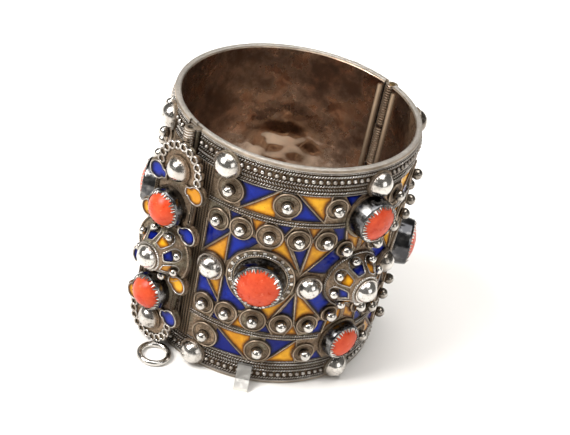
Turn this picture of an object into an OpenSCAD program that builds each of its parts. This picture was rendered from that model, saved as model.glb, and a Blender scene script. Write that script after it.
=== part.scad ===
// Hinged cuff bracelet of enamelled silver, set with coral. All sizes are in millimetres.
// The cuff stands on its lower rim with its axis on +Z. The front half is centred on -Y,
// the hinge is on +X and the clasp, with its plate and pin, is on -X.
// An angle "a" is measured round the cuff from -Y towards +X.

/* [Cuff] */
// Inner radius of the cuff, where the wrist goes
inner_r = 29.4; // [26.5:0.1:32.5]
// Thickness of the plain silver sheet
wall_t = 1.0; // [0.8:0.1:1.2]
// Height of the cuff from rim to rim
cuff_h = 65.2; // [64:0.1:67]
// Opening angle between the two halves, for looking at the cuff open
open_deg = 0; // [0:1:100]

/* [Rims and borders] */
// How far the rim strips stand proud of the sheet
rim_proud = 0.6; // [0.5:0.05:1]
// Height of each rim strip
rim_h = 1; // [0.9:0.1:2]
// Radius of the rounded edges of the rims
round_edge = 0.5; // [0.3:0.05:0.55]
// How far the wire borders stand proud of the sheet
border_proud = 0.45; // [0.3:0.05:0.5]
// Height of the rim and border together
border_h = 7.5; // [7:0.1:8]

/* [Enamel] */
// How far the tops of the cell walls stand proud of the sheet
cell_proud = 0.6; // [0.5:0.05:0.8]
// Depth of the enamel below the tops of the cell walls
enamel_drop = 0.12; // [0.05:0.01:0.2]
// Half the width of the cell wall left between two cells
cell_wall = 0.25; // [0.2:0.05:0.4]
// Gap between an inlay or stone and the metal round it
inlay_gap = 0.06; // [0.05:0.01:0.1]

/* [Domes and balls] */
// Radius of the large domes on the borders
border_dome_r = 3.3; // [3:0.1:3.5]
// Radius of the domes in the middle row and on the bosses
row_dome_r = 2.9; // [2.5:0.1:3]
// Radius of the dome of the middle row that lies next to the clasp
end_dome_r = 3.2; // [2.9:0.1:3.3]
// Radius of the small balls
ball_r = 1.45; // [1.2:0.05:1.5]
// Radius of the flat disc under each ball of the two upper and two lower strips
strip_disc_r = 3.4; // [3:0.05:3.5]
// Radius of the flat disc under each ball of the middle field
disc_r = 2.95; // [2.6:0.05:3.1]

/* [Coral settings] */
// Radius of the two large corals in the middle row of each half
large_coral_r = 5.4; // [5:0.1:5.6]
// Radius of the coral above the boss
top_coral_r = 4.7; // [4.3:0.1:5]
// Radius of the coral below the boss
bottom_coral_r = 4.3; // [4:0.1:4.7]
// Radius of the corals on the clasp plate
plate_coral_r = 4.3; // [3.9:0.1:4.4]
// Height of a setting above the metal that it stands on
setting_h = 4.2; // [3.6:0.1:4.6]
// Height of the low setting below the boss
low_setting_h = 2.7; // [2.5:0.1:3.2]
// Wall of a setting at its top edge
setting_t = 0.55; // [0.4:0.05:0.7]

/* [Boss] */
// Radius of the boss at its foot
boss_r = 7.6; // [7:0.1:8]
// Height of the boss up to its collar
boss_h = 5.2; // [4.5:0.1:5.6]

/* [Hinge and clasp] */
// Outer radius of the hinge tubes
hinge_tube_r = 1.6; // [1.5:0.05:1.7]
// Outer radius of the clasp tubes
clasp_tube_r = 1.4; // [1.3:0.05:1.4]
// Radius of both pins
pin_r = 0.75; // [0.7:0.01:0.78]
// Gap round a pin in its tubes
pin_gap = 0.05; // [0.03:0.01:0.08]
// Number of tubes along the hinge and along the clasp
tube_count = 5; // [5:2:7]
// Length that the clasp pin is drawn down, for looking at the clasp open
pin_drop = 0; // [0:1:66]

/* [Clasp plate] */
// Thickness of the clasp plate
plate_t = 0.7; // [0.6:0.05:0.9]
// Width of the straight middle of the plate
plate_w = 13.2; // [12:0.1:14]
// Size of the plate's boss as a share of the ones on the halves
plate_boss = 0.95; // [0.85:0.01:0.96]
// Direction that the plate faces, as an angle round the cuff
plate_a = -78; // [-80:1:-76]
// How far the plate leans towards the front half at its top
plate_lean = 2.9; // [0:0.1:3.5]
// Height of the plate's centre above the lower rim
plate_z = 31.1; // [31:0.1:32]

/* [Hidden] */
$fn = 64;

SILVER = "#8f867b";
BRIGHT = "#d9d6cf";
CORAL = "#ef5a3c";
BLUE = "#1f2f9e";
YELLOW = "#e9a21c";

// Radii of the cuff's layers
sheet_r = inner_r + wall_t;
rim_r = sheet_r + rim_proud;
border_r = sheet_r + border_proud;
cell_r = sheet_r + cell_proud;
enamel_r = cell_r - enamel_drop;
floor_r = sheet_r + 0.08;
disc_top_r = cell_r + 0.3;
collar_top_r = cell_r + 0.45;
far_r = 50;
post_r = inner_r - 2;
post_h = 8;

// Heights of the rows
mid_z = cuff_h / 2;
strip_row = 22.0;
ball_row = 12.7;
strip_high = mid_z - border_h;

// Places of the settings, as angles and heights from mid height
large_coral_a = 44;
top_coral = [0.5, 18.8];
bottom_coral = [1.1, -19.3];
collar_w = 2.6;
small_collar_w = 1;

// Domes of the middle row, by a, z from mid height and radius
ROW_DOMES = [[-67.3, -1.1, end_dome_r], [-21.6, -1, row_dome_r], [23, 0, row_dome_r], [66, 0, row_dome_r]];

// Hinge and clasp
hinge_x = sheet_r + 0.2;
clasp_x = -(sheet_r + 1.8);
seam_gap = 0.2;
hinge_gap = hinge_tube_r + 0.12;
tube_gap = 0.3;
tube_low = 2.4;
tube_high = cuff_h - 0.6;
bore_r = pin_r + pin_gap;
relief_w = 2.6;

// Clasp plate, measured outwards from the cuff's axis
plate_x = clasp_tube_r - clasp_x * cos(90 + plate_a) + 0.3;
plate_face = plate_x + plate_t;
plate_shift = -7.1;
plate_end_v = 23.1;
plate_end_r = 5.2;
plate_mid_v = -1.1;
plate_coral_v = 13.1;
plate_coral_u = -0.5;
plate_setting_h = setting_h - 1.2;
plate_boss_turn = 7.5;
lobe_r = 2.85;
scallop_n = 11;
scallop_from = -5;
scallop_ring = 6.1;
scallop_r = 1.15;
plate_dome_r = 3.2;
low_crown = 1.5;
high_crown = 2.8;

// Large domes on the borders of one half, by a and z from mid height
BORDER_DOMES = [[-67.9, 27.9], [2.6, 27.5], [66, 28.5], [-68.9, -28.9], [3.2, -28.9], [66, -28.5]];

// Balls, by a (degrees from the middle of the half), z (from mid height) and radius of
// the disc, each mirrored to the four quarters
A = 0;
Z = 1;
R = 2;
BALLS = [
    // a, z, disc radius
    [64.6, strip_row, 3.6], [38.8, strip_row, strip_disc_r], [16.8, strip_row, 2.9],
    [67.8, ball_row, disc_r], [56.4, ball_row, 3.05], [43.6, ball_row, 3.35],
    [30.8, ball_row, disc_r], [18.4, ball_row, 2.8], [8.4, 10.0, 2.3]
];

// Enamel cells of one quarter of a half, mirrored to the other three. Neighbours share their
// edges, so that one thin wall of metal parts them.
CELLS = [
    // colour, then a and z of each corner
    ["blue", [[62.0, 25.6], [42.6, 25.6], [59.4, 17.9]]],
    ["yellow", [[59.4, 17.9], [42.6, 25.6], [42.6, 17.7]]],
    ["yellow", [[35.4, 25.6], [19.8, 25.6], [21.2, 17.9]]],
    ["blue", [[35.4, 25.6], [21.2, 17.9], [36.6, 17.7]]],
    ["blue", [[14.6, 25.5], [4.6, 25.5], [9.8, 21.6]]],
    ["blue", [[63.8, 16.5], [56.2, 16.5], [61.6, 12.6]]],
    ["yellow", [[53.6, 16.5], [45.8, 16.5], [49.8, 11.8]]],
    ["blue", [[42.4, 16.5], [33.6, 16.5], [37.2, 13.3]]],
    ["yellow", [[28.2, 16.5], [21.0, 16.5], [24.6, 12.8]]],
    ["blue", [[17.2, 16.5], [9.6, 16.5], [8.6, 12.4], [12.4, 11.6]]],
    ["yellow", [[9.4, 15.4], [0.6, 12.6], [0.6, 8.2], [7.8, 12.0]]],
    ["blue", [[73.6, 11.4], [61.2, 11.4], [61.2, 10.2], [73.6, 1.8]]],
    ["yellow", [[61.2, 10.2], [73.2, 2.1], [61.2, 1.6]]],
    ["blue", [[61.2, 12.5], [45.4, 10.9], [61.2, 1.2]]],
    ["yellow", [[36.9, 12.7], [42.6, 8.4], [27.0, 2.8]]],
    ["blue", [[35.0, 12.2], [24.8, 12.6], [27.0, 2.8]]],
    ["yellow", [[24.8, 12.6], [14.4, 9.9], [26.7, 2.2]]],
    ["blue", [[12.6, 11.0], [7.8, 6.2], [14.6, 2.3], [25.0, 3.2]]]
];

// Teardrop cells on the clasp plate, by u (towards the front half) and v (up from the centre)
U = 0;
V = 1;
DROPS = [
    // u, v, colour
    [6.5, 19.3, "yellow"], [6.8, 7.4, "blue"], [6.9, -7.9, "yellow"], [6.5, -19.3, "blue"],
    [-6.5, 19.3, "blue"], [-6.8, 7.4, "yellow"], [-6.9, -7.9, "blue"], [-6.5, -19.3, "yellow"]
];

// Places of the eight petals round a boss
PETALS = [for (k = [0:7]) k * 45 + 15];

// The children stand on the wall at angle a and height z: x along the wall, y up, z outwards.
module on_wall(a, z, r) {
    rotate([0, 0, a]) translate([0, -r, z]) rotate([90, 0, 0]) children();
}

// The children stand in the plane of the clasp plate's face at u and v, lifted outwards.
module on_plate(u, v, lift = 0) {
    on_wall(plate_a, plate_z, plate_face) translate([plate_shift, 0, lift])
        rotate([0, 0, -plate_lean]) translate([u, v, 0]) children();
}

// A full ring about the cuff's axis.
module ring(r_in, r_out, z_low, z_high) {
    rotate_extrude() translate([r_in, z_low]) square([r_out - r_in, z_high - z_low]);
}

// One half of the silver sheet with its rims, borders and raised cell walls.
module half_sheet() {
    rotate([0, 0, 180]) rotate_extrude(angle = 180) polygon([
        [inner_r, round_edge], [inner_r + 0.3 * round_edge, 0.3 * round_edge],
        [inner_r + round_edge, 0], [rim_r - round_edge, 0],
        [rim_r - 0.3 * round_edge, 0.3 * round_edge], [rim_r, round_edge],
        [rim_r, rim_h], [border_r, rim_h], [border_r, border_h],
        [cell_r, border_h], [cell_r, cuff_h - border_h], [border_r, cuff_h - border_h],
        [border_r, cuff_h - rim_h], [rim_r, cuff_h - rim_h],
        [rim_r, cuff_h - round_edge], [rim_r - 0.3 * round_edge, cuff_h - 0.3 * round_edge],
        [rim_r - round_edge, cuff_h], [inner_r + round_edge, cuff_h],
        [inner_r + 0.3 * round_edge, cuff_h - 0.3 * round_edge], [inner_r, cuff_h - round_edge]
    ]);
}

// Mirrors the children to the four quarters of a half, about a = 0 and mid height.
module four_quarters() {
    for (side = [0, 1], end = [0, 1])
        mirror([side, 0, 0]) translate([0, 0, mid_z]) mirror([0, 0, end]) children();
}

// Corners of a cell in the plane that touches the wall at its middle, drawn in by d on each side.
function mean(list, k = 0, sum = 0) =
    k == len(list) ? sum / len(list) : mean(list, k + 1, sum + list[k]);
function cell_mid_a(c) = mean([for (p = c[1]) p[0]]);
function corners(c) = [for (p = c[1]) [cell_r * sin(p[0] - cell_mid_a(c)), p[1]]];
function cross_2d(p, q) = p[0] * q[1] - p[1] * q[0];
function drawn_in(points, d) =
    let (n = len(points), centre = mean_point(points))
    [for (k = [0:n - 1])
        let (before = side_line(points[(k + n - 1) % n], points[k], centre, d),
             after = side_line(points[k], points[(k + 1) % n], centre, d))
        meeting(before, after)];
function mean_point(points) = [mean([for (p = points) p[0]]), mean([for (p = points) p[1]])];

// The line through p and q, moved by d towards the centre, as a point and a direction.
function side_line(p, q, centre, d) =
    let (along = (q - p) / norm(q - p), square = [-along[1], along[0]],
         way = (centre - p) * square > 0 ? 1 : -1)
    [p + way * d * square, along];
function meeting(one, two) =
    one[0] + one[1] * cross_2d(two[0] - one[0], two[1]) / cross_2d(one[1], two[1]);

// Prisms of one quarter's cells, of one colour or of all of them.
module cell_prisms(d, colour) {
    for (c = CELLS)
        if (colour == "all" || c[0] == colour)
            on_wall(cell_mid_a(c), 0, inner_r) linear_extrude(post_h) polygon(drawn_in(corners(c), d));
}

// Round posts where the discs and collars of one quarter stand, through the wall.
module post(a, z, r) {
    on_wall(a, z, post_r) cylinder(r = r, h = post_h);
}

module quarter_posts(grow) {
    for (b = BALLS) post(b[A], b[Z], b[R] + grow);
    post(large_coral_a, 0, large_coral_r + setting_t + collar_w + grow);
    post(0, 0, boss_r + 0.5 + grow);
}

// Round posts where the pieces stand that have places of their own on a half.
module half_posts(grow) {
    for (d = ROW_DOMES) post(d[0], mid_z + d[1], d[2] + 0.6 + grow);
    for (d = BORDER_DOMES) post(d[0], mid_z + d[1], border_dome_r + 0.4 + grow);
    post(top_coral[0], mid_z + top_coral[1], top_coral_r + setting_t + small_collar_w + grow);
    post(bottom_coral[0], mid_z + bottom_coral[1], bottom_coral_r + setting_t + small_collar_w + grow);
}

// A raised disc or collar, cut to the curve of the wall.
module disc(a, z, r, top) {
    intersection() {
        post(a, z, r);
        ring(sheet_r - 0.3, top, 0, cuff_h);
    }
}

module discs() {
    for (b = BALLS, side = [-1, 1], end = [-1, 1])
        disc(side * b[A], mid_z + end * b[Z], b[R], disc_top_r);
    for (d = ROW_DOMES) disc(d[0], mid_z + d[1], d[2] + 0.6, collar_top_r);
    for (side = [-1, 1])
        disc(side * large_coral_a, mid_z, large_coral_r + setting_t + collar_w, collar_top_r);
    disc(top_coral[0], mid_z + top_coral[1], top_coral_r + setting_t + small_collar_w, collar_top_r);
    disc(bottom_coral[0], mid_z + bottom_coral[1], bottom_coral_r + setting_t + small_collar_w, collar_top_r);
    disc(0, mid_z, boss_r + 0.5, collar_top_r);
}

module ball(r) {
    translate([0, 0, 0.87 * r]) sphere(r);
}

module balls() {
    four_quarters() for (b = BALLS) on_wall(b[A], b[Z], disc_top_r - 0.1) ball(ball_r);
}

// A dome, round above its foot, whose rim goes down into the metal below.
foot = 0.7;

module dome(r) {
    intersection() {
        sphere(r);
        translate([0, 0, -foot]) cylinder(r = r + 1, h = r + 2 * foot);
    }
    translate([0, 0, -foot]) cylinder(r = r + 0.35, h = foot + 0.5);
}

module domes() {
    for (d = BORDER_DOMES) on_wall(d[0], mid_z + d[1], border_r + 0.3) dome(border_dome_r);
    for (d = ROW_DOMES) on_wall(d[0], mid_z + d[1], collar_top_r) dome(d[2]);
}

// A setting cup for a round stone, from the surface outwards.
module setting(stone_r, h) {
    outer = stone_r + setting_t;
    difference() {
        translate([0, 0, -1]) cylinder(r1 = outer + 0.3, r2 = outer, h = h + 1);
        translate([0, 0, h - 2]) cylinder(r = stone_r + inlay_gap, h = 3);
    }
}

// A round coral cabochon that fills its setting.
module coral(stone_r, h, crown) {
    cap_r = (stone_r * stone_r + crown * crown) / (2 * crown);
    color(CORAL) translate([0, 0, h - 2 + inlay_gap]) intersection() {
        cylinder(r = stone_r, h = 2 + crown);
        translate([0, 0, 2 + crown - cap_r]) sphere(cap_r, $fn = 128);
    }
}

module settings() {
    for (side = [-1, 1])
        on_wall(side * large_coral_a, mid_z, cell_r) setting(large_coral_r, setting_h);
    on_wall(top_coral[0], mid_z + top_coral[1], cell_r) setting(top_coral_r, setting_h);
    on_wall(bottom_coral[0], mid_z + bottom_coral[1], cell_r) setting(bottom_coral_r, low_setting_h);
}

// The raised boss with a dome on top and a ball on the outer end of each petal.
collar_r = row_dome_r + 0.8;
petal_slope = atan2(boss_h, boss_r - collar_r);
petal_in = 2.2;
petal_out = 0.3;
petal_ball_r = 1.1;
petal_ball_in = 0.7;
petal_ball_up = 1.2;

module petal_cell(turn, depth, grow) {
    rotate([0, 0, turn]) translate([(boss_r + collar_r) / 2 - 0.25, 0, boss_h / 2])
        rotate([0, petal_slope, 0]) translate([0, 0, -depth])
            linear_extrude(depth + 0.4) petal_outline(grow);
}

module petal_outline(grow) {
    polygon([
        [-petal_in - grow, -1.0 - grow], [-petal_in - grow, 1.0 + grow], [-0.4, 1.6 + grow],
        [petal_out + grow, 1.35 + grow], [petal_out + grow, -1.35 - grow], [-0.4, -1.6 - grow]
    ]);
}

module boss() {
    difference() {
        union() {
            translate([0, 0, -0.6]) cylinder(r1 = boss_r + 0.3, r2 = boss_r, h = 0.6);
            cylinder(r1 = boss_r, r2 = collar_r, h = boss_h);
        }
        for (turn = PETALS) petal_cell(turn, 0.35, 0);
    }
    translate([0, 0, boss_h - 0.2]) cylinder(r = collar_r, h = 0.8);
    translate([0, 0, boss_h + 0.6]) dome(row_dome_r);
    for (turn = PETALS)
        rotate([0, 0, turn]) translate([boss_r - petal_ball_in, 0, petal_ball_up]) ball(petal_ball_r);
}

module boss_petals(first) {
    for (k = [first:2:7]) intersection() {
        petal_cell(PETALS[k], 0.35 - inlay_gap, -inlay_gap);
        cylinder(r1 = boss_r, r2 = collar_r, h = boss_h);
    }
}

// Tubes of the hinge or clasp that belong to one half: every other one along the height.
function tube_len() = (tube_high - tube_low - (tube_count - 1) * tube_gap) / tube_count;
function tube_start(k) = tube_low + k * (tube_len() + tube_gap);

module tubes(x, r, first) {
    for (k = [first:2:tube_count - 1])
        translate([x, 0, tube_start(k)]) cylinder(r = r, h = tube_len());
}

// Webs that solder the tubes to the sheet. side is -1 for the front half and 1 for the back.
module hinge_webs(side, first) {
    for (k = [first:2:tube_count - 1])
        translate([inner_r + 0.25, side > 0 ? 0.6 : -2.8, tube_start(k)])
            cube([hinge_x - inner_r + 0.4, 2.2, tube_len()]);
}

module clasp_webs(side, first) {
    for (k = [first:2:tube_count - 1])
        translate([clasp_x + 0.6, side > 0 ? 0.35 : -2.05, tube_start(k)])
            cube([1.6, 1.7, tube_len()]);
}

// The bar on the front half that carries the clasp plate.
bar_low = 10;
bar_high = 52;
bar_w = 2;

module plate_bar() {
    on_wall(plate_a, bar_low, cell_r - 0.4) translate([-3.2, 0, 0])
        cube([bar_w, bar_high - bar_low, plate_x - inlay_gap - cell_r + 0.4]);
}

module pin_bore(x) {
    translate([x, 0, -1]) cylinder(r = bore_r, h = cuff_h + 2);
}

// A half of the cuff without its tubes, trimmed for the seam at the clasp and the hinge gap.
module half_body() {
    difference() {
        union() {
            difference() {
                half_sheet();
                cells();
            }
            discs();
            balls();
            domes();
            settings();
            on_wall(0, mid_z, cell_r) boss();
        }
        translate([-far_r, -seam_gap, -1]) cube([far_r, far_r, cuff_h + 2]);
        translate([0, -hinge_gap, -1]) cube([far_r, far_r, cuff_h + 2]);
        translate([-far_r, -relief_w, -1]) cube([far_r - sheet_r, far_r, cuff_h + 2]);
    }
}

module cells() {
    four_quarters() intersection() {
        cell_prisms(cell_wall, "all");
        ring(floor_r, far_r, 0, strip_high);
    }
}

// Enamel of one colour on one half, with the discs and collars cut out of it.
module half_enamel(colour) {
    difference() {
        four_quarters() difference() {
            intersection() {
                cell_prisms(cell_wall + inlay_gap, colour);
                ring(floor_r + inlay_gap, enamel_r, 0, strip_high);
            }
            quarter_posts(inlay_gap);
        }
        half_posts(inlay_gap);
    }
    on_wall(0, mid_z, cell_r) boss_petals(colour == "blue" ? 0 : 1);
}

module front_shell() {
    color(SILVER) difference() {
        union() {
            half_body();
            tubes(hinge_x, hinge_tube_r, 0);
            hinge_webs(-1, 0);
            tubes(clasp_x, clasp_tube_r, 0);
            clasp_webs(-1, 0);
            plate_bar();
        }
        pin_bore(hinge_x);
        pin_bore(clasp_x);
    }
}

module back_shell() {
    color(SILVER) difference() {
        union() {
            mirror([0, 1, 0]) half_body();
            tubes(hinge_x, hinge_tube_r, 1);
            hinge_webs(1, 1);
            tubes(clasp_x, clasp_tube_r, 1);
            clasp_webs(1, 1);
        }
        pin_bore(hinge_x);
        pin_bore(clasp_x);
    }
}

// Turns the back half about the hinge.
module opened() {
    translate([hinge_x, 0, 0]) rotate([0, 0, -open_deg]) translate([-hinge_x, 0, 0]) children();
}

module clasp_plate_blank() {
    on_plate(0, 0) translate([0, 0, -plate_t]) {
        translate([-plate_w / 2, -plate_end_v, 0]) cube([plate_w, 2 * plate_end_v, plate_t]);
        translate([0, plate_mid_v, 0]) cylinder(r = plate_boss * boss_r + 1.6, h = plate_t);
        for (end = [-1, 1]) translate([0, end * plate_end_v, 0]) {
            cylinder(r = plate_end_r + 0.4, h = plate_t);
            for (k = [0:scallop_n - 1])
                rotate([0, 0, end * (scallop_from + k * (180 - 2 * scallop_from) / (scallop_n - 1))])
                    translate([scallop_ring, 0, 0]) cylinder(r = scallop_r, h = plate_t);
        }
        for (d = DROPS) translate([d[U], d[V], 0]) cylinder(r = lobe_r, h = plate_t);
    }
}

// A round-ended cell that points at the plate's centre line.
module drop_cell(d, r, low, high) {
    on_plate(d[U], d[V]) translate([0, 0, low]) {
        cylinder(r = r, h = high - low);
        translate([d[U] > 0 ? -r - 1 : 1 - r, -r / 2, 0]) cube([2 * r, r, high - low]);
    }
}

module clasp_plate() {
    color(SILVER) {
        difference() {
            union() {
                clasp_plate_blank();
                for (d = DROPS) drop_cell(d, lobe_r - 0.35, -0.1, 0.5);
                for (end = [-1, 1])
                    on_plate(plate_coral_u, plate_mid_v + end * plate_coral_v)
                        setting(plate_coral_r, plate_setting_h);
                for (end = [-1, 1]) on_plate(0, end * plate_end_v) dome(plate_dome_r);
                on_plate(0, plate_mid_v) rotate([0, 0, plate_boss_turn]) scale(plate_boss) boss();
            }
            for (d = DROPS) drop_cell(d, lobe_r - 0.75, 0.1, 1);
            on_wall(plate_a, -1, 0) translate([-25, 0, -plate_x]) cube([40, cuff_h + 2, 2 * plate_x]);
            pin_notch();
        }
    }
}

module plate_enamel(colour) {
    for (d = DROPS)
        if (d[2] == colour) drop_cell(d, lobe_r - 0.75 - inlay_gap, 0.1 + inlay_gap, 0.45);
    on_plate(0, plate_mid_v) rotate([0, 0, plate_boss_turn]) scale(plate_boss)
        boss_petals(colour == "blue" ? 0 : 1);
}

// The clasp pin with its ring, which lies flat at the foot of the plate.
ring_wire_r = 0.75;
ring_mid_r = 3.75;
ring_reach = 7.0;
ring_turn = 229;

module pin_notch() {
    translate([clasp_x, 0, -1]) rotate([0, 0, ring_turn])
        translate([0, -pin_r - 0.3, 0]) cube([ring_reach, 2 * pin_r + 0.6, 2.8]);
}

module clasp_pin() {
    color(BRIGHT) translate([clasp_x, 0, ring_wire_r + 0.03]) {
        cylinder(r = pin_r, h = cuff_h - 4);
        sphere(pin_r);
        rotate([0, 0, ring_turn]) {
            rotate([0, 90, 0]) cylinder(r = pin_r, h = ring_reach - ring_mid_r);
            translate([ring_reach, 0, 0]) rotate_extrude() translate([ring_mid_r, 0]) circle(ring_wire_r);
        }
    }
}

// The fixed pin of the hinge.
module hinge_pin() {
    color(BRIGHT) translate([hinge_x, 0, tube_low - 0.2])
        cylinder(r = pin_r, h = tube_high - tube_low + 0.4);
}

// The small bent tab at the foot of the front border.
tab_a = -42.7;
tab_w = 3.6;

module mark_tab() {
    color(BRIGHT) rotate([0, 0, tab_a]) rotate([90, 0, -90]) translate([0, 0, -tab_w / 2])
        linear_extrude(tab_w) polygon([
            [rim_r + 0.06, 5.6], [rim_r + 0.8, 5.6], [33.6, 2.5], [35.4, 1.0], [35.4, 0.1],
            [34.5, 0.1], [32.8, 1.5], [rim_r + 0.06, 3.6]
        ]);
}

front_shell();
on_wall(-large_coral_a, mid_z, cell_r) coral(large_coral_r, setting_h, low_crown);  // front_coral_left
on_wall(large_coral_a, mid_z, cell_r) coral(large_coral_r, setting_h, low_crown);  // front_coral_right
on_wall(top_coral[0], mid_z + top_coral[1], cell_r) coral(top_coral_r, setting_h, low_crown);  // front_coral_top
on_wall(bottom_coral[0], mid_z + bottom_coral[1], cell_r) coral(bottom_coral_r, low_setting_h, low_crown);  // front_coral_bottom
color(BLUE) half_enamel("blue");  // front_blue_enamel
color(YELLOW) half_enamel("yellow");  // front_yellow_enamel
clasp_plate();
on_plate(plate_coral_u, plate_mid_v + plate_coral_v) coral(plate_coral_r, plate_setting_h, high_crown);  // plate_coral_top
on_plate(plate_coral_u, plate_mid_v - plate_coral_v) coral(plate_coral_r, plate_setting_h, high_crown);  // plate_coral_bottom
color(BLUE) plate_enamel("blue");  // plate_blue_enamel
color(YELLOW) plate_enamel("yellow");  // plate_yellow_enamel
hinge_pin();
mark_tab();
opened() back_shell();
opened() rotate([0, 0, 180])  // back_coral_left
        on_wall(-large_coral_a, mid_z, cell_r) coral(large_coral_r, setting_h, low_crown);
opened() rotate([0, 0, 180])  // back_coral_right
        on_wall(large_coral_a, mid_z, cell_r) coral(large_coral_r, setting_h, low_crown);
opened() mirror([0, 1, 0])  // back_coral_top
        on_wall(top_coral[0], mid_z + top_coral[1], cell_r) coral(top_coral_r, setting_h, low_crown);
opened() mirror([0, 1, 0])  // back_coral_bottom
        on_wall(bottom_coral[0], mid_z + bottom_coral[1], cell_r)
            coral(bottom_coral_r, low_setting_h, low_crown);
color(BLUE) opened() mirror([0, 1, 0]) half_enamel("blue");  // back_blue_enamel
color(YELLOW) opened() mirror([0, 1, 0]) half_enamel("yellow");  // back_yellow_enamel
translate([0, 0, -pin_drop]) clasp_pin();
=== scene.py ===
"""Dresses the hinged silver cuff: wirework, granules, bezels, enamel, coral and studio.

Lengths in the tables are millimetres, as in the part's source. An angle "a" is measured
round the cuff in degrees from the middle of a half, and z is a height above the lower rim.
"""

import math
import random
from functools import cached_property

import bmesh
import bpy
from bpy.props import FloatProperty, FloatVectorProperty, IntProperty, PointerProperty
from bpy.types import Operator, Panel, PropertyGroup
from mathutils import Matrix, Vector
from mathutils.bvhtree import BVHTree
from mathutils.geometry import delaunay_2d_cdt


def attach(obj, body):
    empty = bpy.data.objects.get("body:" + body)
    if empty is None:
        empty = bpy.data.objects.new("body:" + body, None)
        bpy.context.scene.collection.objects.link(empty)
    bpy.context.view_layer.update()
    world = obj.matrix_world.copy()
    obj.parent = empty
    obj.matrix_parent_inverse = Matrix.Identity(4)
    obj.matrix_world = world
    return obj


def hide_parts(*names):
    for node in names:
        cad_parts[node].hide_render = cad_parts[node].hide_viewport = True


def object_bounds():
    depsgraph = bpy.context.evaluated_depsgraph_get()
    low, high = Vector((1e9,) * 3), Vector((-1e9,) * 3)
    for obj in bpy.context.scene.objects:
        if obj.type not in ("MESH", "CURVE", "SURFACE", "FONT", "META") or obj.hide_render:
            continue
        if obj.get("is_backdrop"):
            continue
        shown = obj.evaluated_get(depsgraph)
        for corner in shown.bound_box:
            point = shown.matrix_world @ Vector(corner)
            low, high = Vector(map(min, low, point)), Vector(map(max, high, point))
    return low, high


bl_info = {
    "name": "Enamelled Silver Cuff",
    "version": (1, 0, 0),
    "blender": (4, 5, 0),
    "location": "View3D > Sidebar > Cuff",
    "description": "Dresses a hinged silver cuff with wirework, enamel, coral and studio light",
    "category": "Add Mesh",
}

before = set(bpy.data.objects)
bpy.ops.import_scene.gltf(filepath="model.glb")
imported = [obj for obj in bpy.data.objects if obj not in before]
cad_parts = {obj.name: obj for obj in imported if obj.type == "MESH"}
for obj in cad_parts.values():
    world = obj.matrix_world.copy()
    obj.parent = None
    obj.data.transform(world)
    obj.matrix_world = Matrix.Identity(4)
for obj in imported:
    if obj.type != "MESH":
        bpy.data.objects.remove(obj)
cad_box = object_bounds()

MM = 0.001

# The cuff's layers and rows, as in the part's source
CUFF_H = 65.2
MID_Z = CUFF_H / 2
INNER_R = 29.4
BORDER_R = 30.85
CELL_R = 31.0
DISC_TOP_R = 31.3
COLLAR_TOP_R = 31.45
HINGE_X = 30.6
CLASP_X = -32.2
PLATE_A = -78
PLATE_FACE = 33.9
PLATE_SHIFT = -7.1
PLATE_LEAN = 2.9
PLATE_Z = 31.1
PLATE_END_V = 23.1
PLATE_MID_V = -1.1
PLATE_CORAL_U = -0.5
PLATE_CORAL_V = 13.1
PLATE_DROPS = ((6.5, 19.3), (6.8, 7.4), (6.9, -7.9), (6.5, -19.3))  # u, v
PLATE_DROP_R = 2.5
SCALLOPS = 11
SCALLOP_FROM = -5
SCALLOP_RING = 6.1
PLATE_BOSS = 0.95
PLATE_BOSS_TURN = 7.5
BOSS_R = 7.6
BOSS_H = 5.2
LARGE_STONE_R = 5.4
TOP_STONE_R = 4.7
BOTTOM_STONE_R = 4.3
PLATE_STONE_R = 4.3
SETTING_T = 0.55
SETTING_H = 4.2
LOW_SETTING_H = 2.7
PLATE_SETTING_H = 3.0
LARGE_CORAL_A = 44
TOP_CORAL = (0.5, 18.8)  # a, z from mid height
BOTTOM_CORAL = (1.1, -19.3)
ROW_DOME_R = 2.9
BOSS_COLLAR_R = ROW_DOME_R + 0.8
BORDER_DOME_R = 3.3
ROW_DOMES = (  # a, z from mid height, radius
    (-67.3, -1.1, 3.2), (-21.6, -1.0, 2.9), (23, 0, 2.9), (66, 0, 2.9),
)
BORDER_DOMES = (  # a, z from mid height
    (-67.9, 27.9), (2.6, 27.5), (66, 28.5), (-68.9, -28.9), (3.2, -28.9), (66, -28.5),
)
TUBE_LOW = 2.4
TUBE_HIGH = 64.6
TUBES = 5
TUBE_GAP = 0.3

STRIP_ROW = 22.0
BALL_ROW = 12.7
BALLS = (  # a, z from mid height, disc radius
    (64.6, STRIP_ROW, 3.6), (38.8, STRIP_ROW, 3.4), (16.8, STRIP_ROW, 2.9),
    (67.8, BALL_ROW, 2.95), (56.4, BALL_ROW, 3.05), (43.6, BALL_ROW, 3.35),
    (30.8, BALL_ROW, 2.95), (18.4, BALL_ROW, 2.8), (8.4, 10.0, 2.3),
)
CELL_LINES = (  # a and z from mid height of both ends of each wire between two enamel cells
    ((60.6, 17.4), (42.2, 25.8)), ((35.8, 25.8), (20.8, 17.7)), ((61.2, 1.4), (61.2, 12.6)),
    ((60.8, 10.5), (73.4, 2.0)), ((36.9, 12.9), (26.8, 2.6)), ((24.7, 12.9), (27.0, 2.6)),
    ((12.4, 11.2), (26.8, 2.1)), ((63.8, 16.5), (61.6, 12.6)), ((56.2, 16.5), (61.6, 12.6)),
    ((53.6, 16.5), (49.8, 11.8)), ((45.8, 16.5), (49.8, 11.8)), ((42.4, 16.5), (37.2, 13.2)),
    ((33.6, 16.5), (37.2, 13.2)), ((28.2, 16.5), (24.6, 12.8)), ((21.0, 16.5), (24.6, 12.8)),
    ((9.5, 16.4), (8.4, 12.2)), ((19.9, 25.6), (21.2, 17.9)), ((73.7, 11.4), (73.7, 1.6)),
)
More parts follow.
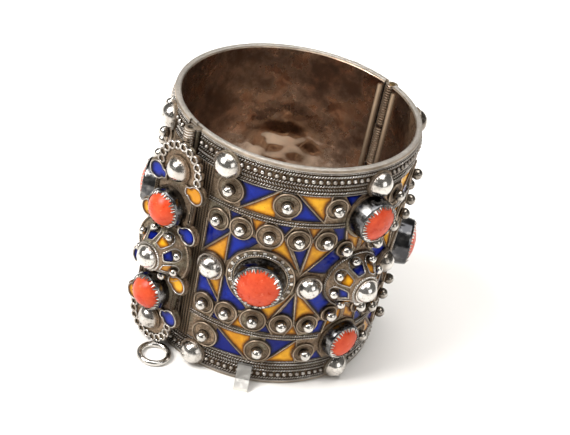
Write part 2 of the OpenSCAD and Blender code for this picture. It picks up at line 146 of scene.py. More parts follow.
HALVES = (("front", "front_half", 1), ("back", "back_half", -1))
ENDS = (-1, 1)
MIRRORS = ((-1, -1), (-1, 1), (1, -1), (1, 1))  # the way round and the end of each quarter

# Depths and heights from mid height between which one finish gives way to the next
SHELL_RUBBED = (31.5, 32.5)
PLATE_RUBBED = (PLATE_FACE + 0.7, PLATE_FACE + 1.9)
RIM = (31.5, 31.65)
# Heights of the two painted highlights along the rim's edges
RIM_LOW_HIGHLIGHT = (31.75, 31.95)
RIM_HIGH_HIGHLIGHT = (32.3, 32.5)
ROPE_GROUND = (25.2, 25.35)
ROPE_GROUND_R = (30.9, 31.1)
INSIDE = (31.9, 32.2)
INSIDE_R = (29.42, 29.6)
# The crumpled patch inside also holds a painted reflection of the floor
DENT = (38.7, 34.5)  # a, z of the crumpled patch inside
DENT_REACH = (0.005, 0.0145)  # metres
# Where painted shade sets in on the low balls, towards +X, away from the key light
SHADED_SIDE_X = (0.001, 0.013)  # metres
FALLING = (1.0, 0.0)  # what a mask goes from and to when it fades

# Colours of stains, small parts and a painted reflection
RUST = (0.20, 0.10, 0.050)
INSIDE_DARK = (0.17, 0.108, 0.075)
INSIDE_PALE = (0.66, 0.53, 0.42)
INSIDE_RUST = (0.46, 0.225, 0.130)
CRUMPLE_PAINTED_REFLECTION = (0.66, 0.52, 0.38)
BLACKENED = (0.05, 0.05, 0.053)
RUBBED_BLACK = (0.27, 0.262, 0.255)
TAB = (0.74, 0.715, 0.67)
BRASS = (0.66, 0.47, 0.22)
WORN_BLUE = (0.055, 0.058, 0.10)
WORN_YELLOW = (0.36, 0.27, 0.10)
CORAL_LINES = (0.55, 0.05, 0.02)
CORAL_PITS = (0.28, 0.03, 0.012)
CORAL_BLOOM = (0.75, 0.22, 0.12)


def length(name, about, default, low, high):
    """A length in metres that a maker would change."""
    return FloatProperty(name=name, description=about, default=default, min=low, max=high,
                         unit="LENGTH", precision=5)


def colour(name, about, *default):
    """A colour that a maker would change."""
    return FloatVectorProperty(name=name, description=about, default=default, min=0, max=1,
                               subtype="COLOR")


class CuffSizes(PropertyGroup):
    """Sizes of the wirework that a maker would change."""

    wire: length("Wire", "Thickness of a twisted wire", 0.00056, 0.0003, 0.0008)
    twist: length("Twist", "Length of one turn of a twisted wire", 0.0006, 0.0004, 0.0012)
    granule: length("Granule", "Radius of a granule of the borders", 0.00055, 0.0003, 0.0006)
    granule_step: length("Granule step", "Distance between two granules of a row", 0.0017, 0.001, 0.0025)
    teeth: IntProperty(name="Bezel teeth", description="Teeth round the edge of a large setting",
                       default=38, min=16, max=44)


class CuffColours(PropertyGroup):
    """Colours that a maker would change."""

    silver: colour("Silver", "Silver where it is rubbed bright", 0.64, 0.615, 0.575)
    worn: colour("Worn silver", "Backs of the wires, between bright and brown", 0.46, 0.375, 0.285)
    brown: colour("Brown patina", "Flat metal between the ornaments", 0.165, 0.115, 0.074)
    verdigris: colour("Verdigris", "Grey-green bloom in patches of the patina", 0.26, 0.265, 0.195)
    # Lays patina in specks and hollows, and also paints the shade in the hollows
    tarnish_and_shade: colour("Tarnish", "Brown-black tarnish in the hollows", 0.026, 0.016, 0.010)
    blue: colour("Blue enamel", "Fired cobalt enamel", 0.002, 0.007, 0.13)
    cobalt: colour("Bright blue", "Middle of a pool of blue enamel", 0.003, 0.018, 0.27)
    # Also paints the shade that the cell's wall casts on the glass beside it
    navy_edge_and_shade: colour("Navy edge and shade", "Blue enamel where it is thick against its cell", 0.001, 0.002, 0.022)
    yellow: colour("Yellow enamel", "Fired yellow enamel", 0.50, 0.205, 0.010)
    amber: colour("Bright yellow", "Middle of a pool of yellow enamel", 0.78, 0.40, 0.018)
    # Also paints the shade that the cell's wall casts on the glass beside it
    honey_edge_and_shade: colour("Brown edge and shade", "Yellow enamel where it is thick against its cell", 0.15, 0.050, 0.006)
    coral: colour("Coral", "Polished coral", 0.57, 0.047, 0.012)
    floor: colour("Floor", "Pale studio floor", 0.86, 0.835, 0.80)


def sizes():
    return bpy.context.scene.cuff_sizes


def colours():
    return bpy.context.scene.cuff_colours


# Places on the cuff


def steps(start, stop, n):
    """Values from start to stop, both included, at even steps."""
    return [start + (stop - start) * k / (n - 1) for k in range(n)]


def circle(radius, n):
    """Points at even steps round a circle."""
    around = [2 * math.pi * k / n for k in range(n)]
    return [(radius * math.cos(t), radius * math.sin(t)) for t in around]


def spot(a, z, r, side=1):
    """The point at angle a and height z, r from the axis, on the front or back half."""
    t = math.radians(a)
    return Vector((r * math.sin(t), -side * r * math.cos(t), z)) * MM


def outward(a, side=1):
    t = math.radians(a)
    return Vector((math.sin(t), -side * math.cos(t), 0))


def seat(a, z, r, side=1):
    """Frame of a setting on the wall: x along the wall, y up and z outwards, in metres."""
    out = outward(a, side)
    up = Vector((0, 0, 1))
    m = Matrix((up.cross(out), up, out)).transposed().to_4x4()
    m.translation = spot(a, z, r, side)
    return m


def shifted(x, y, z=0.0):
    return Matrix.Translation(Vector((x, y, z)) * MM)


def turned(degrees, axis="Z"):
    return Matrix.Rotation(math.radians(degrees), 4, axis)


def plate_seat(u, v):
    """Frame of a feature on the clasp plate's face, which leans and looks past the clasp."""
    middle = seat(PLATE_A, PLATE_Z, PLATE_FACE) @ shifted(PLATE_SHIFT, 0)
    return middle @ turned(-PLATE_LEAN) @ shifted(u, v)


def on_seat(m, x, y, z):
    return m @ Vector((x * MM, y * MM, z * MM))


def seat_out(m):
    """The direction out of the surface under a setting."""
    return m.to_3x3().col[2].normalized()


def linked(name, data):
    """A new object of the scene."""
    obj = bpy.data.objects.new(name, data)
    bpy.context.scene.collection.objects.link(obj)
    return obj


class Trace:
    """Lines that wires follow, each point with the direction out of the surface there."""

    SLOPE_STEP = 0.54  # millimetres in a degree of the wall
    ROW_STEP = 2.0
    POST_POINTS = 12
    COIL_POINTS = 14

    def __init__(self):
        self.points, self.outs, self.edges = [], [], []

    def line(self, points, outs, closed=False):
        first, n = len(self.points), len(points)
        self.points += points
        self.outs += outs
        self.edges += [(first + k, first + k + 1) for k in range(n - 1)]
        if closed:
            self.edges.append((first + n - 1, first))

    def on_wall(self, places, r, side, closed=False):
        """A line through places on the wall, each an angle and a height."""
        points = [spot(a, z, r, side) for a, z in places]
        self.line(points, [outward(a, side) for a, _ in places], closed)

    def slope(self, start, end, r, side):
        """A line over the wall between two places."""
        run = math.hypot((end[0] - start[0]) * self.SLOPE_STEP, end[1] - start[1])
        n = max(2, int(run) + 1)
        self.on_wall(list(zip(steps(start[0], end[0], n), steps(start[1], end[1], n))), r, side)

    def row(self, z, a_low, a_high, r, side):
        """A line round the wall at one height."""
        n = max(2, int(abs(a_high - a_low) / self.ROW_STEP) + 1)
        self.on_wall([(a, z) for a in steps(a_low, a_high, n)], r, side)

    def post(self, a, z_low, z_high, r, side):
        """A line up the wall at one angle."""
        self.on_wall([(a, z) for z in steps(z_low, z_high, self.POST_POINTS)], r, side)

    def wall_ring(self, a, z, radius, r, side, n=36):
        """A ring round a point of the wall, bent to the wall's curve."""
        places = [(a + math.degrees(math.asin(x / r)), z + y) for x, y in circle(radius, n)]
        self.on_wall(places, r, side, closed=True)

    def seat_ring(self, m, radius, height, n, centre=(0, 0)):
        """A flat ring in the frame of a setting."""
        u, v = centre
        points = [on_seat(m, u + x, v + y, height) for x, y in circle(radius, n)]
        self.line(points, [m.to_3x3().col[2].copy()] * n, closed=True)

    def coil(self, x, z_low, z_high, radius, pitch):
        """A helix round an upright tube."""
        n = int((z_high - z_low) / pitch * self.COIL_POINTS)
        turn = [2 * math.pi * k / self.COIL_POINTS for k in range(n + 1)]
        outs = [Vector((math.cos(t), math.sin(t), 0)) for t in turn]
        heights = steps(z_low, z_high, n + 1)
        self.line([Vector((x, 0, z)) * MM + out * (radius * MM) for z, out in zip(heights, outs)], outs)

    def mesh_object(self, name):
        mesh = bpy.data.meshes.new(name)
        mesh.from_pydata(self.points, self.edges, [])
        layer = mesh.attributes.new("outward", "FLOAT_VECTOR", "POINT")
        layer.data.foreach_set("vector", [c for o in self.outs for c in o])
        return linked(name, mesh)


# Node trees


class Wiring:
    """Short ways to add, join and reckon with the nodes of one tree."""

    def __init__(self, tree, grouped=False):
        self.tree = tree
        if grouped:
            self.start = tree.nodes.new("NodeGroupInput")
            self.end = tree.nodes.new("NodeGroupOutput")

    def add(self, kind, props=None, **inputs):
        node = self.tree.nodes.new(kind)
        for key, value in (props or {}).items():
            setattr(node, key, value)
        for key, value in inputs.items():
            self.join(value, node.inputs[key.replace("_", " ")])
        return node

    def join(self, value, socket):
        if isinstance(value, bpy.types.Node):
            value = value.outputs[0]
        if isinstance(value, bpy.types.NodeSocket):
            self.tree.links.new(value, socket)
        else:
            socket.default_value = value

    def feed(self, node, *values):
        """Joins values to a node's first sockets."""
        for value, socket in zip(values, node.inputs):
            self.join(value, socket)
        return node

    def given(self, label):
        return self.start.outputs[label]

    def give(self, label, value):
        self.join(value, self.end.inputs[label])

    def shared(self, tree, **values):
        """Places a shared group and gives its outputs."""
        return self.add("ShaderNodeGroup", {"node_tree": tree}, **values).outputs

    @cached_property
    def place(self):
        """Object coordinates of the shaded point, in metres."""
        return self.add("ShaderNodeTexCoord").outputs["Object"]

    def math(self, operation, *values):
        return self.feed(self.add("ShaderNodeMath", {"operation": operation}), *values)

    def times(self, a, b):
        return self.math("MULTIPLY", a, b)

    def plus(self, a, b):
        return self.math("ADD", a, b)

    def minus(self, a, b):
        return self.math("SUBTRACT", a, b)

    def most(self, a, b):
        return self.math("MAXIMUM", a, b)

    def vector(self, operation, *values):
        node = self.feed(self.add("ShaderNodeVectorMath", {"operation": operation}), *values)
        single = operation in ("DOT_PRODUCT", "LENGTH", "DISTANCE")
        return node.outputs["Value" if single else "Vector"]

    def ramp(self, value, low, high, to_low=0.0, to_high=1.0):
        """Maps low..high to to_low..to_high with soft ends."""
        return self.add("ShaderNodeMapRange", {"interpolation_type": "SMOOTHSTEP"}, Value=value,
                        From_Min=low, From_Max=high, To_Min=to_low, To_Max=to_high)

    def by(self, mask, bare, full):
        """A value that goes from bare to full as the mask fills."""
        return self.ramp(mask, 0.0, 1.0, bare, full)

    def part(self, mask, a, b):
        """The value a where the mask is 0 and b where it is 1."""
        return self.plus(self.times(a, self.minus(1.0, mask)), self.times(mask, b))

    def mix(self, mask, a, b):
        """The colour a where the mask is 0 and b where it is 1."""
        node = self.add("ShaderNodeMix", {"data_type": "RGBA"})
        for value, socket in ((mask, 0), (a, 6), (b, 7)):
            self.join(value, node.inputs[socket])
        return node.outputs[2]

    def tint(self, coat, mask, strength, paint):
        """A coat with a colour laid over it by a mask at some strength."""
        return self.mix(self.times(mask, strength), coat, paint)

    def noise(self, scale, detail=3.0, roughness=0.55):
        """Noise with scale spots to a metre."""
        return self.add("ShaderNodeTexNoise", Vector=self.place, Scale=scale, Detail=detail,
                        Roughness=roughness)

    def cloud(self, scale, detail, roughness, low, high):
        """A soft mask that starts where the noise passes low and is full at high."""
        return self.ramp(self.noise(scale, detail, roughness), low, high)

    def pits(self, scale, low, high):
        """Round spots, full up to low from their middle and gone at high, in cells' widths."""
        cells = self.add("ShaderNodeTexVoronoi", Vector=self.place, Scale=scale)
        return self.ramp(cells.outputs["Distance"], low, high, *FALLING)


def group(name, kind, ins, outs):
    """Turns a function that wires a node group into one that gives the group, made once."""
    def decorate(wire):
        def built():
            tree = bpy.data.node_groups.get(name)
            if tree is None:
                tree = bpy.data.node_groups.new(name, kind)
                for way, sockets in (("INPUT", ins), ("OUTPUT", outs)):
                    for label, socket in sockets.items():
                        tree.interface.new_socket(label, in_out=way, socket_type="NodeSocket" + socket)
                wire(Wiring(tree, grouped=True))
            return tree
        return built
    return decorate


def wire_group(name, **inputs):
    """A Geometry Nodes group that makes metal along traced lines."""
    ins = {"Geometry": "Geometry", "Step": "Float", **inputs, "Metal": "Material"}
    return group(name, "GeometryNodeTree", ins, {"Geometry": "Geometry"})


def even_points(w):
    """Points along the traced lines, one step apart."""
    curve = w.add("GeometryNodeMeshToCurve", Mesh=w.given("Geometry"))
    return w.add("GeometryNodeResampleCurve", {"mode": "LENGTH"}, Curve=curve, Length=w.given("Step"))


def line_turn(w):
    """The turn that lays x along the line and z out of the surface."""
    out = w.add("GeometryNodeInputNamedAttribute", {"data_type": "FLOAT_VECTOR"}, Name="outward")
    turn = w.add("FunctionNodeAxesToRotation", {"primary_axis": "X", "secondary_axis": "Z"})
    return w.feed(turn, w.add("GeometryNodeInputTangent"), out)


def strew(w, shape, scale, lean):
    """Copies of a shape on the points, each turned to its line, scaled and leaned."""
    placed = w.add("GeometryNodeInstanceOnPoints", Points=even_points(w), Instance=shape,
                   Rotation=line_turn(w), Scale=scale)
    leaning = w.add("GeometryNodeRotateInstances", Instances=placed, Rotation=lean)
    cover(w, w.add("GeometryNodeRealizeInstances", Geometry=leaning))


def cover(w, shape):
    """Sets the metal on a shape and gives it out."""
    w.give("Geometry", w.add("GeometryNodeSetMaterial", Geometry=shape, Material=w.given("Metal")))


@wire_group("Beaded wire", Bead="Vector", Slant="Vector")
def beaded_wire(w):
    """Slanted beads along the traced lines, which read as twisted or beaded wire."""
    bead = w.add("GeometryNodeMeshUVSphere", Segments=6, Rings=4, Radius=0.5)
    smooth = w.add("GeometryNodeSetShadeSmooth", Geometry=bead)
    strew(w, smooth, w.given("Bead"), w.given("Slant"))


@wire_group("Plain wire", Radius="Float")
def plain_wire(w):
    """A round wire along the traced lines."""
    section = w.add("GeometryNodeCurvePrimitiveCircle", Resolution=6, Radius=w.given("Radius"))
    tube = w.add("GeometryNodeCurveToMesh", Curve=even_points(w),
                 Profile_Curve=section.outputs["Curve"], Fill_Caps=True)
    cover(w, w.add("GeometryNodeSetShadeSmooth", Geometry=tube))


@wire_group("Bezel teeth", Tooth="Vector", Lean="Vector")
def bezel_teeth(w):
    """Pointed teeth along a traced ring, no two quite alike, that lean in over the stone."""
    least, most, bend = (0.75, 0.8, 0.6), (1.15, 1.2, 1.25), (0.2, 0.16, 0.22)
    any_vector = {"data_type": "FLOAT_VECTOR"}
    cut = w.add("FunctionNodeRandomValue", any_vector, Min=least, Max=most, Seed=5)
    bent = w.add("FunctionNodeRandomValue", any_vector, Min=tuple(-x for x in bend), Max=bend, Seed=8)
    tooth = w.add("GeometryNodeMeshCone", Vertices=6, Radius_Top=0.08, Radius_Bottom=0.5, Depth=1.0)
    size = w.vector("MULTIPLY", cut, w.given("Tooth"))
    strew(w, tooth.outputs["Mesh"], size, w.vector("ADD", bent, w.given("Lean")))


@group("Wall depth", "ShaderNodeTree", {}, {"Radius": "Float", "Height": "Float"})
def wall_depth(s):
    """Distance from the cuff's axis and from mid height, in millimetres."""
    parts = s.add("ShaderNodeSeparateXYZ", Vector=s.place).outputs
    flat = s.add("ShaderNodeCombineXYZ", X=parts["X"], Y=parts["Y"])
    s.give("Radius", s.times(s.vector("LENGTH", flat), 1 / MM))
    s.give("Height", s.times(s.math("ABSOLUTE", s.minus(parts["Z"], MID_Z * MM)), 1 / MM))


@group("Boss place", "ShaderNodeTree", {"Centre": "Vector", "Axis": "Vector"},
       {"Away": "Float", "Above": "Float"})
def boss_place(s):
    """Distance from a boss's axis and height along it, in millimetres."""
    offset = s.vector("SUBTRACT", s.place, s.given("Centre"))
    above = s.vector("DOT_PRODUCT", offset, s.given("Axis"))
    foot = s.add("ShaderNodeVectorMath", {"operation": "SCALE"}, Vector=s.given("Axis"), Scale=above)
    s.give("Away", s.times(s.vector("LENGTH", s.vector("SUBTRACT", offset, foot)), 1 / MM))
    s.give("Above", s.times(above, 1 / MM))


@group("Patina", "ShaderNodeTree", {}, dict.fromkeys(("Blotch", "Mottle", "Grain", "Pits"), "Float"))
def patina_masks(s):
    """Blotches, satin mottling, grain and pits of old silver, as masks."""
    s.give("Blotch", s.cloud(170.0, 4.0, 0.6, 0.35, 0.68))
    s.give("Mottle", s.cloud(950.0, 5.0, 0.7, 0.42, 0.66))
    s.give("Grain", s.cloud(1500.0, 3.0, 0.6, 0.3, 0.7))
    s.give("Pits", s.pits(620.0, 0.0, 0.28))


@group("Crevice patina and shade", "ShaderNodeTree", {"Reach": "Float"}, {"Hollow": "Float"})
def crevice_patina_and_shade(s):
    """How closed in a point is, from 0 in the open to 1 deep in a recess; it lays patina and painted
    shade in the hollows.
    """
    shade = s.add("ShaderNodeAmbientOcclusion", {"samples": 6}, Distance=s.given("Reach"))
    s.give("Hollow", s.ramp(shade.outputs["AO"], 0.38, 0.84, *FALLING))


# Pieces


def placed(name, mesh, body, slot):
    """A finished mesh as a piece that rides on a body."""
    piece = linked(name, mesh)
    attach(piece, body)
    return piece


def made(name, verts, faces, material, body, slot):
    """A piece made of points and faces."""
    mesh = bpy.data.meshes.new(name)
    mesh.from_pydata(verts, [], faces)
    mesh.materials.append(material)
    mesh.shade_smooth()
    mesh.update()
    return placed(name, mesh, body, slot)


def grown(trace, name, tree, body, finish, **values):
    """A piece made by running a tree over a trace, left as a plain mesh."""
    values["Metal"] = metal(finish)
    obj = trace.mesh_object(name + "_trace")
    mod = obj.modifiers.new("Wirework", "NODES")
    mod.node_group = tree
    for item in tree.interface.items_tree:
        if item.item_type == "SOCKET" and item.in_out == "INPUT" and item.name in values:
            mod[item.identifier] = values[item.name]
    bpy.context.view_layer.update()
    depsgraph = bpy.context.evaluated_depsgraph_get()
    mesh = bpy.data.meshes.new_from_object(obj.evaluated_get(depsgraph), depsgraph=depsgraph)
    mesh.name = name
    bpy.data.objects.remove(obj)
    return placed(name, mesh, body, "old_silver")


def plain(trace, name, body, finish, step, radius):
    """A plain round wire along a trace, with step and radius in metres."""
    grown(trace, name, plain_wire(), body, finish, Step=step, Radius=radius)


def rope(trace, name, body, finish, step, bead, slant=0):
    """A twisted or beaded wire along a trace, its beads slanted by some degrees."""
    lean = (0, 0, math.radians(slant))
    grown(trace, name, beaded_wire(), body, finish, Step=step, Bead=bead, Slant=lean)


def strand(long, wide, high=1.0):
    """Size of one bead of a rope, from shares of the wire's thickness."""
    return tuple(sizes().wire * share for share in (long, wide, high))


# Materials


def new_material(name, metallic=1.0):
    """A material, its wiring and the sockets of its surface."""
    material = bpy.data.materials.new(name)
    material.use_nodes = True
    material.node_tree.nodes.clear()
    s = Wiring(material.node_tree)
    surface = s.add("ShaderNodeBsdfPrincipled", Metallic=metallic)
    s.add("ShaderNodeOutputMaterial", Surface=surface)
    return material, s, surface.inputs


def dress(s, skin, coat, rough, relief=None, strength=0.0, depth=0.0):
    """Joins colour, roughness and bump to a surface."""
    s.join(coat, skin["Base Color"])
    s.join(rough, skin["Roughness"])
    if relief is not None:
        s.join(s.add("ShaderNodeBump", Height=relief, Strength=strength, Distance=depth), skin["Normal"])


def rgba(paint, gain=1.0):
    return (*(min(1, part * gain) for part in paint), 1.0)


def on_boss(s, centre, axis, scale):
    """Mask of a boss's cone without its dome and balls."""
    boss = s.shared(boss_place(), Centre=centre, Axis=axis)
    foot = BOSS_R * scale
    cone = s.times(s.minus(foot, boss["Away"]), BOSS_H / (BOSS_R - BOSS_COLLAR_R))
    cone = s.math("MINIMUM", cone, BOSS_H * scale + 0.6 * scale)
    low = s.ramp(s.minus(boss["Above"], cone), 0.2, 0.6, *FALLING)
    return s.times(s.ramp(boss["Away"], foot + 0.5, foot + 0.9, *FALLING), low)


def dull_coat(s, patina, grime):
    """Brown patina with rust, verdigris, grime in its grain and a few bright flecks."""
    c = colours()
    coat = s.mix(patina["Blotch"], rgba(c.brown, 0.7), rgba(c.brown, 2.4))
    coat = s.tint(coat, s.cloud(130.0, 5.0, 0.7, 0.5, 0.68), 0.6, rgba(RUST))
    coat = s.tint(coat, s.cloud(95.0, 4.0, 0.65, 0.48, 0.62), 0.6, rgba(c.verdigris))
    coat = s.tint(coat, patina["Grain"], 0.3, rgba(c.worn, 0.8))
    coat = s.tint(coat, grime, 0.6, rgba(c.brown, 0.3))
    return s.tint(coat, s.cloud(2700.0, 3.0, 0.7, 0.6, 0.68), 0.55, rgba(c.worn, 1.3))


def satin_coat(s, patina, low_ball):
    """Rubbed silver with mottling and dark specks, browner on the low balls, with painted shade on them
    towards +X.
    """
    c = colours()
    coat = s.mix(s.times(patina["Mottle"], 0.45), rgba(c.silver), rgba(c.silver, 0.5))
    specks = s.times(patina["Pits"], s.cloud(420.0, 2.0, 0.55, 0.48, 0.56))
    coat = s.tint(coat, specks, 0.85, rgba(c.tarnish_and_shade))
    coat = s.tint(coat, low_ball, 0.3, rgba(c.brown))
    # Painted shade: the low balls darken towards +X, the side away from the key light
    along = s.add("ShaderNodeSeparateXYZ", Vector=s.place).outputs["X"]
    return s.tint(coat, s.times(s.ramp(along, *SHADED_SIDE_X), low_ball), 0.78, rgba(c.worn, 0.3))


def old_silver(name, rubbed_from, rubbed_to, boss, from_plane=None, dent=None):
    """Tarnished silver that is rubbed bright between two depths, measured in millimetres.

    The depth is the distance from the cuff's axis or, with from_plane, along that direction.
    The cone of the boss stays dull, and the inside is brown and crumpled near dent, where a painted
    reflection lightens it.
    """
    material, s, skin = new_material(name)
    wall = s.shared(wall_depth())
    patina = s.shared(patina_masks())
    hollow_patina_and_shade = s.shared(crevice_patina_and_shade(), Reach=0.0010)["Hollow"]
    depth = wall["Radius"]
    if from_plane is not None:
        depth = s.times(s.vector("DOT_PRODUCT", s.place, from_plane), 1 / MM)
    rubbed = s.times(s.ramp(depth, rubbed_from, rubbed_to), s.minus(1.0, on_boss(s, *boss)))
    low_ball = s.ramp(depth, rubbed_to + 0.6, rubbed_to + 1.6, *FALLING)
    grime = s.cloud(1900.0, 4.0, 0.75, 0.45, 0.6)
    coat = s.mix(rubbed, dull_coat(s, patina, grime), satin_coat(s, patina, low_ball))
    # Patina and painted shade darken the hollows, more in tighter recesses
    coat = s.tint(coat, hollow_patina_and_shade, 0.9, rgba(colours().tarnish_and_shade))
    rough = s.most(s.by(rubbed, 0.46, 0.0), s.by(patina["Mottle"], 0.17, 0.3))
    marks = s.minus(s.times(patina["Grain"], s.by(rubbed, 1.0, 0.1)), s.times(patina["Pits"], 0.2))
    waves = s.times(s.noise(330.0, 2.0), s.by(rubbed, 0.8, 0.22))
    relief = s.plus(s.times(marks, 0.45), waves)
    relief = s.minus(relief, s.times(grime, s.by(rubbed, 0.4, 0.0)))
    if from_plane is None:
        coat, rough = rim_finish(s, patina, wall["Height"], depth, coat, rough)
        coat, rough, relief = inside_finish(s, wall["Height"], depth, dent, coat, rough, relief)
    dress(s, skin, coat, rough, relief, strength=0.6, depth=0.0003)
    return material


def rim_finish(s, patina, height, depth, coat, rough):
    """Two painted highlights along the edges of a grey rim, and dark ground under the border's ropes."""
    c = colours()
    rim = s.ramp(height, *RIM)
    # Painted highlights: bright lines along the rim's lower and upper edges
    lines = s.most(s.ramp(height, *RIM_LOW_HIGHLIGHT, *FALLING), s.ramp(height, *RIM_HIGH_HIGHLIGHT))
    band = s.mix(patina["Blotch"], rgba(c.worn, 0.45), rgba(c.worn, 0.95))
    band = s.tint(band, lines, 0.7, rgba(c.silver, 0.8))
    band = s.tint(band, patina["Grain"], 0.5, rgba(c.worn, 0.7))
    ground = s.times(s.ramp(height, *ROPE_GROUND), s.ramp(depth, *ROPE_GROUND_R, *FALLING))
    coat = s.tint(coat, ground, 0.5, rgba(c.tarnish_and_shade))
    return s.mix(rim, coat, band), s.most(rough, s.times(rim, 0.42))


def inside_finish(s, height, depth, dent, coat, rough, relief):
    """Brown, cloudy and dented inside, with crumples near the dent lightened by a painted reflection of
    the floor.
    """
    inside = s.times(s.ramp(depth, *INSIDE_R, *FALLING), s.ramp(height, *INSIDE, *FALLING))
    near = s.ramp(s.vector("DISTANCE", s.place, dent), *DENT_REACH, *FALLING)
    cloud = s.cloud(75.0, 6.0, 0.66, 0.36, 0.66)
    brown = s.mix(cloud, rgba(INSIDE_DARK), rgba(INSIDE_PALE))
    brown = s.tint(brown, s.cloud(150.0, 5.0, 0.7, 0.45, 0.7), 0.65, rgba(INSIDE_RUST))
    # Painted reflection: the crumples near the dent are lightened as if they mirrored the pale floor
    brown = s.tint(brown, near, 0.4, rgba(CRUMPLE_PAINTED_REFLECTION))
    gloss = s.most(s.minus(s.by(cloud, 0.36, 0.2), s.times(near, 0.2)), 0.14)
    dents = s.times(s.noise(85.0, 3.0, 0.45), s.by(near, 7.0, 3.0))
    crumple = s.times(s.noise(125.0, 1.0, 0.4), s.times(near, 13.0))
    relief = s.part(inside, relief, s.plus(dents, crumple))
    return s.mix(inside, coat, brown), s.part(inside, rough, gloss), relief


def wire_silver(name, bright, rough):
    """Silver wire: bright on its back, with brown-black patina and painted shade in its twist."""
    material, s, skin = new_material(name)
    c = colours()
    patina = s.shared(patina_masks())
    hollow_patina_and_shade = s.shared(crevice_patina_and_shade(), Reach=0.0007)["Hollow"]
    varied = s.plus(s.times(patina["Blotch"], 0.6), s.times(patina["Mottle"], 0.4))
    worn = s.ramp(varied, 0.05, 0.85, 0.35 * bright, bright)
    coat = s.mix(worn, rgba(c.brown), rgba(c.worn if bright < 0.9 else c.silver))
    # Patina and painted shade darken the wire's twist
    coat = s.tint(coat, hollow_patina_and_shade, 0.9, rgba(c.tarnish_and_shade))
    dress(s, skin, coat, s.by(worn, rough + 0.15, rough - 0.08))
    return material


def dark_silver(name):
    """Blackened, polished silver of the setting walls."""
    material, s, skin = new_material(name)
    cloud = s.cloud(260.0, 4.0, 0.6, 0.4, 0.75)
    coat = s.mix(cloud, rgba(BLACKENED), rgba(RUBBED_BLACK))
    dress(s, skin, coat, s.by(cloud, 0.16, 0.3), s.noise(240.0, 2.0), strength=0.3, depth=0.0003)
    return material


def bright_silver(name, paint=None, worn=0.0):
    """Polished metal with hairline scratches, rougher where it is worn."""
    material, s, skin = new_material(name)
    mottle = s.shared(patina_masks())["Mottle"]
    paint = paint or colours().silver
    coat = s.mix(s.cloud(210.0, 4.0, 0.55, 0.4, 0.75), rgba(paint), rgba(paint, 0.72))
    rough = s.by(mottle, 0.14 + worn, 0.28 + worn)
    dress(s, skin, coat, rough, s.noise(300.0, 3.0), strength=0.3, depth=0.0001)
    return material


def enamel(name, body, middle, edge, grey):
    """Fired glass: dark against its cell from thick glass and painted shade, bright where it pools,
    pinholed and worn in patches.
    """
    material, s, skin = new_material(name, metallic=0.0)
    wall = s.add("ShaderNodeAttribute", {"attribute_name": "from_wall"}).outputs["Fac"]
    firing = s.add("ShaderNodeAttribute", {"attribute_name": "firing"}).outputs["Fac"]
    cloud = s.cloud(520.0, 4.0, 0.6, 0.3, 0.7)
    ragged = s.plus(wall, s.times(s.noise(900.0, 3.0), 0.5))
    pool_tone = s.ramp(s.plus(firing, s.times(cloud, 0.5)), 0.25, 1.15)
    # Darker towards the cell's wall, for thicker glass and painted shade of the wall
    glass = s.mix(s.ramp(ragged, 0.3, 1.0), rgba(edge), rgba(body))
    glass = s.mix(s.times(s.ramp(ragged, 0.6, 1.5), pool_tone), glass, rgba(middle))
    chips = s.times(s.cloud(300.0, 6.0, 0.7, 0.62, 0.7), s.ramp(wall, 0.0, 0.5, 1.0, 0.45))
    glass = s.tint(glass, chips, 0.8, rgba(grey))
    hole = s.pits(820.0, 0.0, 0.16)
    glass = s.tint(glass, hole, 0.6, rgba(edge, 0.6))
    rough = s.by(s.most(chips, s.times(cloud, 0.3)), 0.09, 0.5)
    waves = s.minus(s.noise(620.0, 3.0), s.times(s.plus(hole, chips), 0.5))
    dress(s, skin, glass, rough, waves, strength=0.5, depth=0.0003)
    skin["IOR"].default_value = 1.52
    skin["Specular IOR Level"].default_value = 0.14
    return material


def coral_stone(name):
    """Polished coral: mottled orange-red with faint growth lines and pits."""
    material, s, skin = new_material(name, metallic=0.0)
    red, green, blue = colours().coral
    cloud = s.cloud(330.0, 5.0, 0.65, 0.32, 0.7)
    body = s.mix(cloud, rgba((red, green, blue), 0.84), rgba((red * 1.08, green * 1.75, blue * 2.2)))
    lines = s.add("ShaderNodeTexWave", {"wave_type": "RINGS"}, Vector=s.place, Scale=150.0,
                  Distortion=7.0, Detail=2.0)
    body = s.tint(body, s.ramp(lines, 0.2, 1.0), 0.16, rgba(CORAL_LINES))
    pit = s.times(s.pits(360.0, 0.02, 0.16), s.cloud(150.0, 3.0, 0.55, 0.5, 0.6))
    body = s.tint(body, pit, 0.8, rgba(CORAL_PITS))
    body = s.tint(body, s.cloud(700.0, 4.0, 0.7, 0.6, 0.7), 0.45, rgba(CORAL_BLOOM))
    relief = s.minus(s.noise(480.0, 3.0), pit)
    dress(s, skin, body, s.by(cloud, 0.26, 0.42), relief, strength=0.4, depth=0.0002)
    skin["Subsurface Weight"].default_value = 0.08
    skin["Subsurface Radius"].default_value = (0.0012, 0.0004, 0.0002)
    skin["IOR"].default_value = 1.49
    skin["Specular IOR Level"].default_value = 0.2
    return material


